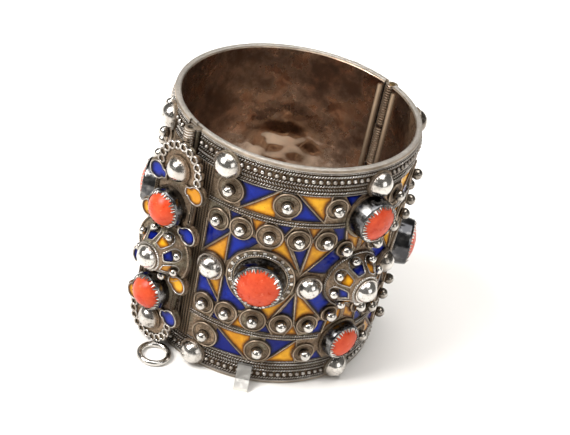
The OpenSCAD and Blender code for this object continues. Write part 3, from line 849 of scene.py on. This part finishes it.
FINISHES = {  # maker, then how bright and how rough a wire is, or a paint and how worn it is
    "Twisted wire silver": (wire_silver, 0.8, 0.3),
    "Rope silver": (wire_silver, 1.0, 0.34),
    "Ring wire silver": (wire_silver, 0.7, 0.3),
    "Granule silver": (wire_silver, 0.92, 0.32),
    "Bezel edge silver": (wire_silver, 1.0, 0.22),
    "Cell wire silver": (wire_silver, 0.85, 0.3),
    "Post wire silver": (wire_silver, 0.3, 0.36),
    # Dull wire of the disc rings, which also paints the shade round balls and domes
    "Groove silver": (wire_silver, 0.4, 0.36),
    "Frame silver": (wire_silver, 0.95, 0.28),
    "Scallop silver": (wire_silver, 0.95, 0.28),
    "Coil silver": (wire_silver, 0.3, 0.45),
    "Lip silver": (wire_silver, 0.12, 0.5),
    "Blackened silver": (dark_silver,),
    "Polished silver": (bright_silver,),
    "Tab silver": (bright_silver, TAB, 0.2),
    "Worn brass": (bright_silver, BRASS),
}


def metal(name):
    """The finish of that name, made once."""
    maker, *values = FINISHES[name]
    return bpy.data.materials.get(name) or maker(name, *values)


def wear(node, material):
    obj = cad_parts[node]
    obj.data.materials.clear()
    obj.data.materials.append(material)


class CUFF_OT_metal(Operator):
    """Gives the shells, plate, pins and tab their silver and brass"""

    bl_idname = "cuff.metal"
    bl_label = "Finish Metal"

    def execute(self, context):
        for half, _, side in HALVES:
            boss = (spot(0, MID_Z, CELL_R, side), outward(0, side), 1.0)
            dent = spot(*DENT, INNER_R, side)
            wear(f"{half}_shell", old_silver(f"Cuff silver {half}", *SHELL_RUBBED, boss, dent=dent))
        boss = (plate_seat(0, PLATE_MID_V).translation, outward(PLATE_A), PLATE_BOSS)
        wear("clasp_plate", old_silver("Plate silver", *PLATE_RUBBED, boss, from_plane=outward(PLATE_A)))
        for node, finish in (
            ("clasp_pin", "Polished silver"), ("mark_tab", "Tab silver"), ("hinge_pin", "Worn brass"),
        ):
            wear(node, metal(finish))
        return {"FINISHED"}


class CUFF_OT_enamel(Operator):
    """Fires the blue and yellow enamel, which sinks in the middle of each cell"""

    bl_idname = "cuff.enamel"
    bl_label = "Fire Enamel"

    WELD = 0.002
    GRAIN = 0.42  # between two points of the glass's top
    ROW = 0.87  # between two rows of points, as a share of the grain
    JITTER = 0.05
    SAG = 0.17  # of the middle of a wide cell
    CREEP = 0.5  # from the wall, where the sag sets in
    FALL = 1.6  # power of the sag's curve
    DEPTH = 0.3
    ABOVE = 5  # where rays start over the glass
    SHARP = 50  # degrees
    OUTER, ALIKE, TOP = 0.3, 0.9, 0.8  # least cosines between a face and the way out or up
    FILL = 2  # the triangulation that leaves out what lies outside the rim
    CLOSE = 1e-5

    def execute(self, context):
        c = colours()
        blue = enamel("Blue enamel", c.blue, c.cobalt, c.navy_edge_and_shade, WORN_BLUE)
        yellow = enamel("Yellow enamel", c.yellow, c.amber, c.honey_edge_and_shade, WORN_YELLOW)
        for part, body in (("front", "front_half"), ("back", "back_half"), ("plate", "front_half")):
            for shade, glass in (("blue", blue), ("yellow", yellow)):
                self.fire(part, body, shade, glass)
        return {"FINISHED"}

    def fire(self, part, body, shade, glass):
        """Stands a pooled copy of each inlay in for one enamel node."""
        node = f"{part}_{shade}_enamel"
        bm = bmesh.new()
        bm.from_mesh(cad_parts[node].data)
        bmesh.ops.scale(bm, vec=(1 / MM,) * 3, verts=bm.verts)
        bmesh.ops.remove_doubles(bm, verts=bm.verts, dist=self.WELD)
        bmesh.ops.dissolve_degenerate(bm, dist=self.WELD / 2, edges=bm.edges)
        bm.verts.index_update()
        bm.faces.index_update()
        chance = random.Random(node)
        verts, faces, wall, firing = [], [], [], []
        for inlay in self.inlays(bm):
            middle = sum((f.calc_center_median() for f in inlay), Vector()) / len(inlay)
            out = outward(PLATE_A) if part == "plate" else Vector((middle.x, middle.y, 0)).normalized()
            points, sides, far = self.pool(inlay, out, chance)
            faces += [tuple(len(verts) + k for k in face) for face in sides]
            verts += [p * MM for p in points]
            wall += far
            firing += [chance.random()] * len(points)
        bm.free()
        piece = made(f"{part}_{shade}_glass", verts, faces, glass, body, f"{shade}_enamel")
        piece.data.set_sharp_from_angle(angle=math.radians(self.SHARP))
        for name, values in (("from_wall", wall), ("firing", firing)):
            piece.data.attributes.new(name, "FLOAT", "POINT").data.foreach_set("value", values)
        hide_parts(node)

    def inlays(self, bm):
        """The faces of each separate inlay."""
        found = []
        for face in bm.faces:
            face.tag = False
        for first in bm.faces:
            if first.tag:
                continue
            first.tag = True
            joined = [first]
            for face in joined:
                for near in [g for edge in face.edges for g in edge.link_faces]:
                    if not near.tag:
                        near.tag = True
                        joined.append(near)
            found.append(joined)
        return found

    def pool(self, inlay, out, chance):
        """Points, faces and distances from the cell's wall of one inlay, in millimetres."""
        likely = [f.normal for f in inlay if f.normal.dot(out) > self.OUTER]
        up = max(likely, key=lambda n: sum(f.calc_area() for f in inlay if f.normal.dot(n) > self.ALIKE))
        up = up.copy()
        top = [f for f in inlay if f.normal.dot(up) > self.TOP]
        x = up.orthogonal().normalized()
        y = up.cross(x)
        points, edges = self.rim(top)
        flat = [Vector((p.dot(x), p.dot(y))) for p in points]
        rim_count = len(points)
        far = [0.0] * rim_count
        lift = points[0].dot(up) + self.ABOVE
        surface = self.surface(top)
        for place in self.grid(flat, chance):
            hit = surface.ray_cast(x * place.x + y * place.y + up * lift, -up)[0]
            if hit is None:
                continue
            gap = min(self.from_segment(place, flat[a], flat[b]) for a, b in edges)
            if gap > self.GRAIN * 0.5:
                points.append(hit - up * (self.SAG * (1 - math.exp(-((gap / self.CREEP) ** self.FALL)))))
                flat.append(place)
                far.append(gap)
        tris = self.triangles(flat, edges)
        base = self.triangles(flat[:rim_count], edges)
        under = len(points)
        points += [p - up * self.DEPTH for p in points[:rim_count]]
        far += [0.0] * rim_count
        around = [(tri[k], tri[(k + 1) % 3]) for tri in tris for k in range(3)]
        used = set(around)
        sides = [(b, a, under + a, under + b) for a, b in around if (b, a) not in used]
        return points, tris + sides + [tuple(under + k for k in reversed(tri)) for tri in base], far

    def rim(self, top):
        """Points round the top of an inlay and the edges between them."""
        chosen = {f.index for f in top}
        points, edges, known = [], [], {}
        for edge in [e for f in top for e in f.edges]:
            if sum(g.index in chosen for g in edge.link_faces) != 1:
                continue
            a, b = edge.verts
            for v in (a, b):
                if v.index not in known:
                    known[v.index] = len(points)
                    points.append(v.co.copy())
            cuts = int(edge.calc_length() / self.GRAIN)
            chain = [known[a.index]] + [len(points) + k for k in range(cuts)] + [known[b.index]]
            points += [a.co.lerp(b.co, (k + 1) / (cuts + 1)) for k in range(cuts)]
            edges += list(zip(chain, chain[1:]))
        return points, edges

    def surface(self, top):
        """The top's faces, ready for rays."""
        corners = {v.index: v.co for f in top for v in f.verts}
        order = {index: k for k, index in enumerate(corners)}
        faces = [[order[v.index] for v in f.verts] for f in top]
        return BVHTree.FromPolygons(list(corners.values()), faces)

    def grid(self, flat, chance):
        """Places in staggered rows over the top, each a little off its row."""
        low = Vector((min(p.x for p in flat), min(p.y for p in flat)))
        high = Vector((max(p.x for p in flat), max(p.y for p in flat)))
        pitch = self.GRAIN * self.ROW
        for j in range(int((high.y - low.y) / pitch) + 1):
            for i in range(int((high.x - low.x) / self.GRAIN) + 2):
                place = low + Vector(((i - 0.5 * (j % 2)) * self.GRAIN, j * self.GRAIN * self.ROW))
                yield place + Vector([chance.uniform(-self.JITTER, self.JITTER) for _ in "xy"])

    def from_segment(self, p, a, b):
        along = b - a
        t = max(0.0, min(1.0, (p - a).dot(along) / along.length_squared))
        return (p - a - along * t).length

    def triangles(self, flat, edges):
        """Triangles that fill the rim, as indices of the given points."""
        _, _, tris, origins, _, _ = delaunay_2d_cdt(flat, edges, [], self.FILL, self.CLOSE)
        return [tuple(origins[k][0] for k in tri) for tri in tris if all(origins[k] for k in tri)]


def settings():
    """Each coral's seat, stone radius, setting height, body and name."""
    corals = (
        (-LARGE_CORAL_A, 0, LARGE_STONE_R, SETTING_H, "left"),
        (LARGE_CORAL_A, 0, LARGE_STONE_R, SETTING_H, "right"),
        (*TOP_CORAL, TOP_STONE_R, SETTING_H, "top"),
        (*BOTTOM_CORAL, BOTTOM_STONE_R, LOW_SETTING_H, "bottom"),
    )
    listed = [(seat(a, MID_Z + z, CELL_R, side), radius, height, body, f"{half}_{place}")
              for half, body, side in HALVES for a, z, radius, height, place in corals]
    for end, place in ((1, "top"), (-1, "bottom")):
        m = plate_seat(PLATE_CORAL_U, PLATE_MID_V + end * PLATE_CORAL_V)
        listed.append((m, PLATE_STONE_R, PLATE_SETTING_H, "front_half", f"plate_{place}"))
    return listed


class CUFF_OT_corals(Operator):
    """Polishes the corals and grips each with a dark bezel and a serrated edge"""

    bl_idname = "cuff.corals"
    bl_label = "Set Corals"

    TEETH_OUT = 0.24  # from the stone's edge
    TEETH_UP = 0.05  # over the setting
    TOOTH = (0.00086, 0.00046, 0.00102)  # metres
    LEAN = {"front": 48, "back": 48, "plate": 24}  # degrees
    CLEAR = 0.07  # round the setting
    FLARE = 0.3  # at its foot
    BARREL = 0.1
    EDGE = ((-0.02, 0.1), (-0.26, 0.06))  # out from the setting, up from its top
    SIDES = 72

    def execute(self, context):
        coral = coral_stone("Coral")
        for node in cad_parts:
            if "coral" in node:
                wear(node, coral)
        teeth = {}
        for m, radius, height, body, name in settings():
            self.sleeve(m, radius, height, body, name)
            trace = teeth.setdefault((name.split("_")[0], body, radius), Trace())
            trace.seat_ring(m, radius + self.TEETH_OUT, height + self.TEETH_UP, n=48)
        for (owner, body, radius), trace in teeth.items():
            count = round(sizes().teeth * radius / LARGE_STONE_R)
            step = 2 * math.pi * (radius + self.TEETH_OUT) * MM / count
            lean = (math.radians(-self.LEAN[owner]), 0, 0)
            grown(trace, f"bezel_teeth_{owner}_{round(radius * 10)}", bezel_teeth(), body,
                  "Bezel edge silver", Step=step, Tooth=self.TOOTH, Lean=lean)
        return {"FINISHED"}

    def sleeve(self, m, radius, height, body, name):
        """The setting's outer wall, slightly barrelled, with a thin turned-in edge."""
        outer = radius + SETTING_T
        profile = [
            (outer + self.CLEAR + self.FLARE * (1 - z / height)
             + self.BARREL * math.sin(math.pi * z / height), z)
            for z in steps(0, height, 9)
        ]
        profile += [(outer + out, height + up) for out, up in self.EDGE]
        n = self.SIDES
        verts = [on_seat(m, x, y, z) for r, z in profile for x, y in circle(r, n)]
        faces = [
            (low + k, low + (k + 1) % n, low + n + (k + 1) % n, low + n + k)
            for low in range(0, (len(profile) - 1) * n, n) for k in range(n)
        ]
        made(f"bezel_{name}", verts, faces, metal("Blackened silver"), body, "old_silver")


class CUFF_OT_borders(Operator):
    """Lays the twisted wires and granules of the borders, strips and end posts"""

    bl_idname = "cuff.borders"
    bl_label = "Lay Border Wires"

    END_A = 84.6
    ROPES = ((30.6, 1), (28.2, 1), (27.2, -1), (26.2, 1))  # height from the middle, slant
    FINE_ROWS = (31.35, 25.4)
    GRANULE_ROW = 29.35
    STRIP_ROWS = (50.1, 49.3, 15.9, 15.1)
    STRIP_A = (11.6, 74.0)
    POST_A = (74.6, 76.1, 77.6, 79.1, 80.6, 82.1, 83.6)
    POST_Z = (7.5, 57.7)
    ROPE_LIFT = 0.16
    FINE_LIFT = 0.1
    GRANULE_LIFT = 0.28
    CELL_LIFT = 0.08

    def execute(self, context):
        s = sizes()
        for half, body, side in HALVES:
            forth, back, fine, strips, posts, granules, cells = (Trace() for _ in range(7))
            for end in ENDS:
                for z, slant in self.ROPES:
                    self.round(forth if slant > 0 else back, end * z, self.ROPE_LIFT, side)
                for z in self.FINE_ROWS:
                    self.round(fine, end * z, self.FINE_LIFT, side)
                self.round(granules, end * self.GRANULE_ROW, self.GRANULE_LIFT, side, short=1)
            for z in self.STRIP_ROWS:
                for way in ENDS:
                    near, far = (way * a for a in self.STRIP_A)
                    strips.row(z, near, far, CELL_R + self.ROPE_LIFT, side)
            for a in self.POST_A:
                for way in ENDS:
                    posts.post(way * a, *self.POST_Z, CELL_R + self.ROPE_LIFT, side)
            for line in CELL_LINES:
                for way, end in MIRRORS:
                    start, stop = ((way * a, MID_Z + end * z) for a, z in line)
                    cells.slope(start, stop, CELL_R + self.CELL_LIFT, side)
            plain(cells, f"{half}_cell_wires", body, "Cell wire silver", step=0.0007, radius=0.00016)
            for trace, slant, name in ((forth, 45, "border_wires"), (back, -45, "border_wires_back")):
                rope(trace, f"{half}_{name}", body, "Rope silver", step=0.00068,
                     bead=strand(1.75, 0.52), slant=slant)
            rope(strips, f"{half}_strip_wires", body, "Rope silver", step=s.twist,
                 bead=strand(1.3, 0.52), slant=40)
            rope(fine, f"{half}_fine_wires", body, "Granule silver", step=0.00042,
                 bead=strand(0.8, 0.6, 0.6))
            rope(posts, f"{half}_post_wires", body, "Post wire silver", step=s.twist,
                 bead=strand(1.55, 0.72), slant=36)
            rope(granules, f"{half}_granules", body, "Granule silver", step=s.granule_step,
                 bead=(s.granule * 2,) * 3)
        return {"FINISHED"}

    def round(self, trace, z, lift, side, short=0):
        """A row of a border at height z from the middle."""
        trace.row(MID_Z + z, -self.END_A + short, self.END_A - short, BORDER_R + lift, side)


class CUFF_OT_filigree(Operator):
    """Coils wire round the balls, domes, collars and bosses of both halves"""

    bl_idname = "cuff.filigree"
    bl_label = "Coil Filigree"

    RING_IN = 0.18  # from the edge of a ball's disc
    DARK_RING_IN = 0.66
    BALL_RING = 1.62
    COLLAR_RINGS = (0.6, 2.35)  # out from a large setting
    COLLAR_ROPE = 1.05
    COLLAR_BARS = 1.7
    BAR = (0.0013, 0.0011, 0.00036)  # metres
    PETALS = 8
    PETAL_FROM = 15  # degrees
    PETAL_EDGE = ((-2.25, 1.05), (-0.8, 1.5), (0.6, 1.88), (1.5, 1.72), (2.2, 1.25), (2.6, 0.6))
    PETAL_LIFT = 0.28

    def execute(self, context):
        for half, body, side in HALVES:
            rings, dark_rings_and_shade, twisted, bars, petals = (Trace() for _ in range(5))
            for a, z, radius in BALLS:
                for way, end in MIRRORS:
                    place = (way * a, MID_Z + end * z)
                    rings.wall_ring(*place, radius - self.RING_IN, DISC_TOP_R + 0.12, side)
                    # A dull ring in each disc, and one round its ball that paints the shade of the
                    # recess there
                    dark_rings_and_shade.wall_ring(*place, radius - self.DARK_RING_IN, DISC_TOP_R + 0.02, side)
                    dark_rings_and_shade.wall_ring(*place, self.BALL_RING, DISC_TOP_R + 0.04, side, n=24)
            for way in ENDS:
                self.collar(rings, twisted, bars, way * LARGE_CORAL_A, side)
            # A dull thin ring at the foot of each dome paints the shade of the recess there
            for a, z, radius in ROW_DOMES:
                dark_rings_and_shade.wall_ring(a, MID_Z + z, radius + 0.45, COLLAR_TOP_R + 0.02, side)
            for a, z in BORDER_DOMES:
                dark_rings_and_shade.wall_ring(a, MID_Z + z, BORDER_DOME_R + 0.3, BORDER_R + 0.2, side)
            self.boss(seat(0, MID_Z, CELL_R, side), 1.0, petals, twisted)
            twisted.wall_ring(0, MID_Z, BOSS_R + 0.25, COLLAR_TOP_R + 0.15, side)
            if half == "front":
                m = plate_seat(0, PLATE_MID_V) @ turned(PLATE_BOSS_TURN)
                self.boss(m, PLATE_BOSS, petals, twisted)
            plain(rings, f"{half}_disc_rings", body, "Ring wire silver", step=0.0007, radius=0.00023)
            plain(dark_rings_and_shade, f"{half}_disc_dark_rings_and_shade", body, "Groove silver", step=0.0008, radius=0.00012)
            rope(twisted, f"{half}_disc_twists", body, "Rope silver", step=sizes().twist,
                 bead=strand(1.4, 0.6, 0.9), slant=36)
            rope(bars, f"{half}_collar_bars", body, "Rope silver", step=0.0025, bead=self.BAR, slant=90)
            plain(petals, f"{half}_petal_wires", body, "Frame silver", step=0.0006, radius=0.00017)
        return {"FINISHED"}

    def collar(self, rings, twisted, bars, a, side):
        """Rings, a rope and short bars on the collar round a large setting."""
        inner = LARGE_STONE_R + SETTING_T
        for out in self.COLLAR_RINGS:
            rings.wall_ring(a, MID_Z, inner + out, COLLAR_TOP_R + 0.1, side, n=56)
        twisted.wall_ring(a, MID_Z, inner + self.COLLAR_ROPE, COLLAR_TOP_R + 0.12, side, n=56)
        bars.wall_ring(a, MID_Z, inner + self.COLLAR_BARS, COLLAR_TOP_R + 0.08, side, n=56)

    def boss(self, m, scale, petals, twisted):
        """Petal edges up the boss, and a twisted collar under its dome."""
        m = m @ Matrix.Scale(scale, 4)
        lean = Matrix.Rotation(math.atan2(BOSS_H, BOSS_R - BOSS_COLLAR_R), 4, "Y")
        middle = (BOSS_R + BOSS_COLLAR_R) / 2 - 0.25
        loop = self.PETAL_EDGE + tuple((x, -y) for x, y in reversed(self.PETAL_EDGE))
        for k in range(self.PETALS):
            turn = turned(self.PETAL_FROM + 360 / self.PETALS * k)
            cell = m @ turn @ shifted(middle, 0, BOSS_H / 2) @ lean
            lifts = [self.PETAL_LIFT - 0.4 * y * y / (middle + 0.6 * x) for x, y in loop]
            points = [on_seat(cell, x, y, lift) for (x, y), lift in zip(loop, lifts)]
            petals.line(points, [seat_out(cell)] * len(loop), closed=True)
        twisted.seat_ring(m, BOSS_COLLAR_R + 0.1, BOSS_H + 0.45, n=28)


class CUFF_OT_plate(Operator):
    """Trims the clasp plate with scallop loops, rimmed drops and twisted edges"""

    bl_idname = "cuff.plate"
    bl_label = "Trim Clasp Plate"

    EDGES_V = ((10.4, 16.4), (-16.4, -10.8))
    EDGES_U = (-6.3, -5.75, 5.75, 6.3)
    EDGE_LIFT = 0.12
    DROP_LIFT = 0.54
    DROP_ARC = 148  # degrees either way from the drop's outer end
    LOOP_R = 0.97
    LOOP_LIFT = 0.18
    BOSS_RING = 1.3  # out from the boss

    def execute(self, context):
        m = plate_seat(0, 0)
        rims, loops, twisted = Trace(), Trace(), Trace()
        out = m.to_3x3().col[2].copy()
        outline = self.drop(PLATE_DROP_R - 0.2)
        for u, v in PLATE_DROPS:
            for way in ENDS:
                points = [on_seat(m, way * (u + x), v + y, self.DROP_LIFT) for x, y in outline]
                rims.line(points, [out] * len(points), closed=True)
        for end in ENDS:
            for k in range(SCALLOPS):
                t = math.radians(end * (SCALLOP_FROM + k * (180 - 2 * SCALLOP_FROM) / (SCALLOPS - 1)))
                centre = (SCALLOP_RING * math.cos(t), end * PLATE_END_V + SCALLOP_RING * math.sin(t))
                loops.seat_ring(m, self.LOOP_R, self.LOOP_LIFT, n=14, centre=centre)
            for low, high in self.EDGES_V:
                for u in self.EDGES_U:
                    points = [on_seat(m, u, v, self.EDGE_LIFT) for v in steps(low, high, 9)]
                    twisted.line(points, [out] * len(points))
        ring = PLATE_BOSS * BOSS_R + self.BOSS_RING
        twisted.seat_ring(m, ring, self.EDGE_LIFT, n=48, centre=(0, PLATE_MID_V))
        plain(rims, "plate_drop_rims", "front_half", "Granule silver", step=0.0004, radius=0.00016)
        plain(loops, "plate_scallops", "front_half", "Scallop silver", step=0.0004, radius=0.00027)
        rope(twisted, "plate_twists", "front_half", "Twisted wire silver", step=sizes().twist,
             bead=strand(1.4, 0.75), slant=36)
        return {"FINISHED"}

    def drop(self, radius):
        """Outline of a drop that is round outside and narrow towards the plate's centre line."""
        arc = [math.radians(a) for a in steps(-self.DROP_ARC, self.DROP_ARC, 19)]
        tip = [(-radius - 0.5, 1.0), (-radius - 0.9, 0.5), (-radius - 0.9, -0.5), (-radius - 0.5, -1.0)]
        return [(radius * math.cos(t), radius * math.sin(t)) for t in arc] + tip


class CUFF_OT_tubes(Operator):
    """Winds ridged wire round the tubes of the hinge and the clasp"""

    bl_idname = "cuff.tubes"
    bl_label = "Wind Tubes"

    COILS = ((HINGE_X, 1.6, 0.72), (CLASP_X, 1.4, 0.68))  # x, radius, pitch
    COIL_END = 0.3  # short of a tube's end
    LIP_X = 29.35
    LIP_Y = 2.75
    LIP_R = 0.85
    LIP_Z = (1.6, 63.4)

    def execute(self, context):
        long = (TUBE_HIGH - TUBE_LOW - (TUBES - 1) * TUBE_GAP) / TUBES
        for first, (half, body, side) in enumerate(HALVES):
            coils = Trace()
            for k in range(first, TUBES, 2):
                start = TUBE_LOW + k * (long + TUBE_GAP)
                for x, radius, pitch in self.COILS:
                    coils.coil(x, start + self.COIL_END, start + long - self.COIL_END, radius, pitch)
            plain(coils, f"{half}_tube_coils", body, "Coil silver", step=0.0008, radius=0.00021)
            self.lip(half, body, side)
        return {"FINISHED"}

    def lip(self, half, body, side):
        """The rolled inner edge of a half, beside the hinge."""
        n = 14
        verts = [
            Vector((self.LIP_X + x, -side * (self.LIP_Y + y), z)) * MM
            for z in self.LIP_Z for x, y in circle(self.LIP_R, n)
        ]
        faces = [(k, (k + 1) % n, n + (k + 1) % n, n + k)[::-side] for k in range(n)]
        faces += [tuple(range(n))[::side], tuple(range(n, 2 * n))[::-side]]
        made(f"{half}_hinge_lip", verts, faces, metal("Lip silver"), body, "old_silver")


class CUFF_OT_stage(Operator):
    """Sets up the pale floor, the soft studio light and the camera of the photograph"""

    bl_idname = "cuff.stage"
    bl_label = "Set Stage"

    FLOOR_HALF = 3.0  # metres
    SKY = (1.0, 0.975, 0.94, 1)
    SKY_STRENGTH = 0.19
    AIM = Vector((0, 0, 0.03))
    LIGHTS = (  # name, place, size, watts
        ("key", (-1.15, 0.35, 1.25), 0.8, 42.0),
        ("top", (0.1, 0.1, 1.7), 1.5, 34.0),
        ("fill", (0.2, -1.7, 0.8), 1.0, 7.0),
    )
    RISE, ROLL, TURN = 33.46, 11.98, -43.0  # degrees
    DISTANCE, SLIDE, LIFT = 333.9, 1.89, -1.98  # back, right and up from mid height on the axis
    SENSOR_W = 36.0
    PHOTO_W = 570
    FOCAL_LENGTH = 1280  # in pixels of the photograph

    def execute(self, context):
        context.scene.view_settings.view_transform = "Standard"
        self.floor()
        self.world()
        self.lights()
        self.camera()
        return {"FINISHED"}

    def floor(self):
        material, _, skin = new_material("Pale floor", metallic=0.0)
        skin["Base Color"].default_value = rgba(colours().floor)
        skin["Roughness"].default_value = 0.6
        mesh = bpy.data.meshes.new("floor")
        half = self.FLOOR_HALF
        corners = [(-half, -half, 0), (half, -half, 0), (half, half, 0), (-half, half, 0)]
        mesh.from_pydata(corners, [], [(0, 1, 2, 3)])
        mesh.materials.append(material)
        floor = linked("floor", mesh)
        floor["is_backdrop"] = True

    def world(self):
        world = bpy.data.worlds.new("Soft studio")
        world.use_nodes = True
        sky = world.node_tree.nodes["Background"].inputs
        sky["Color"].default_value = self.SKY
        sky["Strength"].default_value = self.SKY_STRENGTH
        bpy.context.scene.world = world

    def lights(self):
        for name, place, size, power in self.LIGHTS:
            light = bpy.data.lights.new(name, "AREA")
            light.size = size
            light.energy = power
            lamp = linked(name, light)
            lamp.location = place
            lamp.rotation_euler = (self.AIM - Vector(place)).to_track_quat("-Z", "Y").to_euler()

    def camera(self):
        """The camera that was fitted to the two rims of the photograph."""
        rise, roll = math.radians(self.RISE), math.radians(self.ROLL)
        back = Vector((0, -math.cos(rise), math.sin(rise)))
        right = Vector((1, 0, 0))
        up = back.cross(right)
        x = math.cos(roll) * right + math.sin(roll) * up
        y = -math.sin(roll) * right + math.cos(roll) * up
        m = Matrix((x, y, back)).transposed().to_4x4()
        m.translation = (back * self.DISTANCE + x * self.SLIDE + y * self.LIFT) * MM
        data = bpy.data.cameras.new("camera")
        data.sensor_width = self.SENSOR_W
        data.lens = self.SENSOR_W * self.FOCAL_LENGTH / self.PHOTO_W
        data.clip_start = 0.01
        camera = linked("camera", data)
        camera.matrix_world = shifted(0, 0, MID_Z) @ turned(self.TURN) @ m
        bpy.context.scene.camera = camera


class CUFF_PT_panel(Panel):
    """Sizes, colours and steps of the cuff"""

    bl_label = "Silver Cuff"
    bl_idname = "CUFF_PT_panel"
    bl_space_type = "VIEW_3D"
    bl_region_type = "UI"
    bl_category = "Cuff"

    def draw(self, context):
        layout = self.layout
        for values in (context.scene.cuff_sizes, context.scene.cuff_colours):
            for name in values.__annotations__:
                layout.prop(values, name)
        for step in STEPS:
            layout.operator(step.bl_idname)


STEPS = (CUFF_OT_metal, CUFF_OT_enamel, CUFF_OT_corals, CUFF_OT_borders,
         CUFF_OT_filigree, CUFF_OT_plate, CUFF_OT_tubes, CUFF_OT_stage)
CLASSES = (CuffSizes, CuffColours, *STEPS, CUFF_PT_panel)


def register():
    for cls in CLASSES:
        bpy.utils.register_class(cls)
    bpy.types.Scene.cuff_sizes = PointerProperty(type=CuffSizes)
    bpy.types.Scene.cuff_colours = PointerProperty(type=CuffColours)


def unregister():
    del bpy.types.Scene.cuff_colours
    del bpy.types.Scene.cuff_sizes
    for cls in reversed(CLASSES):
        bpy.utils.unregister_class(cls)


def main():
    register()
    bpy.ops.cuff.metal()
    bpy.ops.cuff.enamel()
    bpy.ops.cuff.corals()
    bpy.ops.cuff.borders()
    bpy.ops.cuff.filigree()
    bpy.ops.cuff.plate()
    bpy.ops.cuff.tubes()
    bpy.ops.cuff.stage()
    [[list(corner) for corner in box] for box in (cad_box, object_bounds())]


if __name__ == "__main__":
    main()
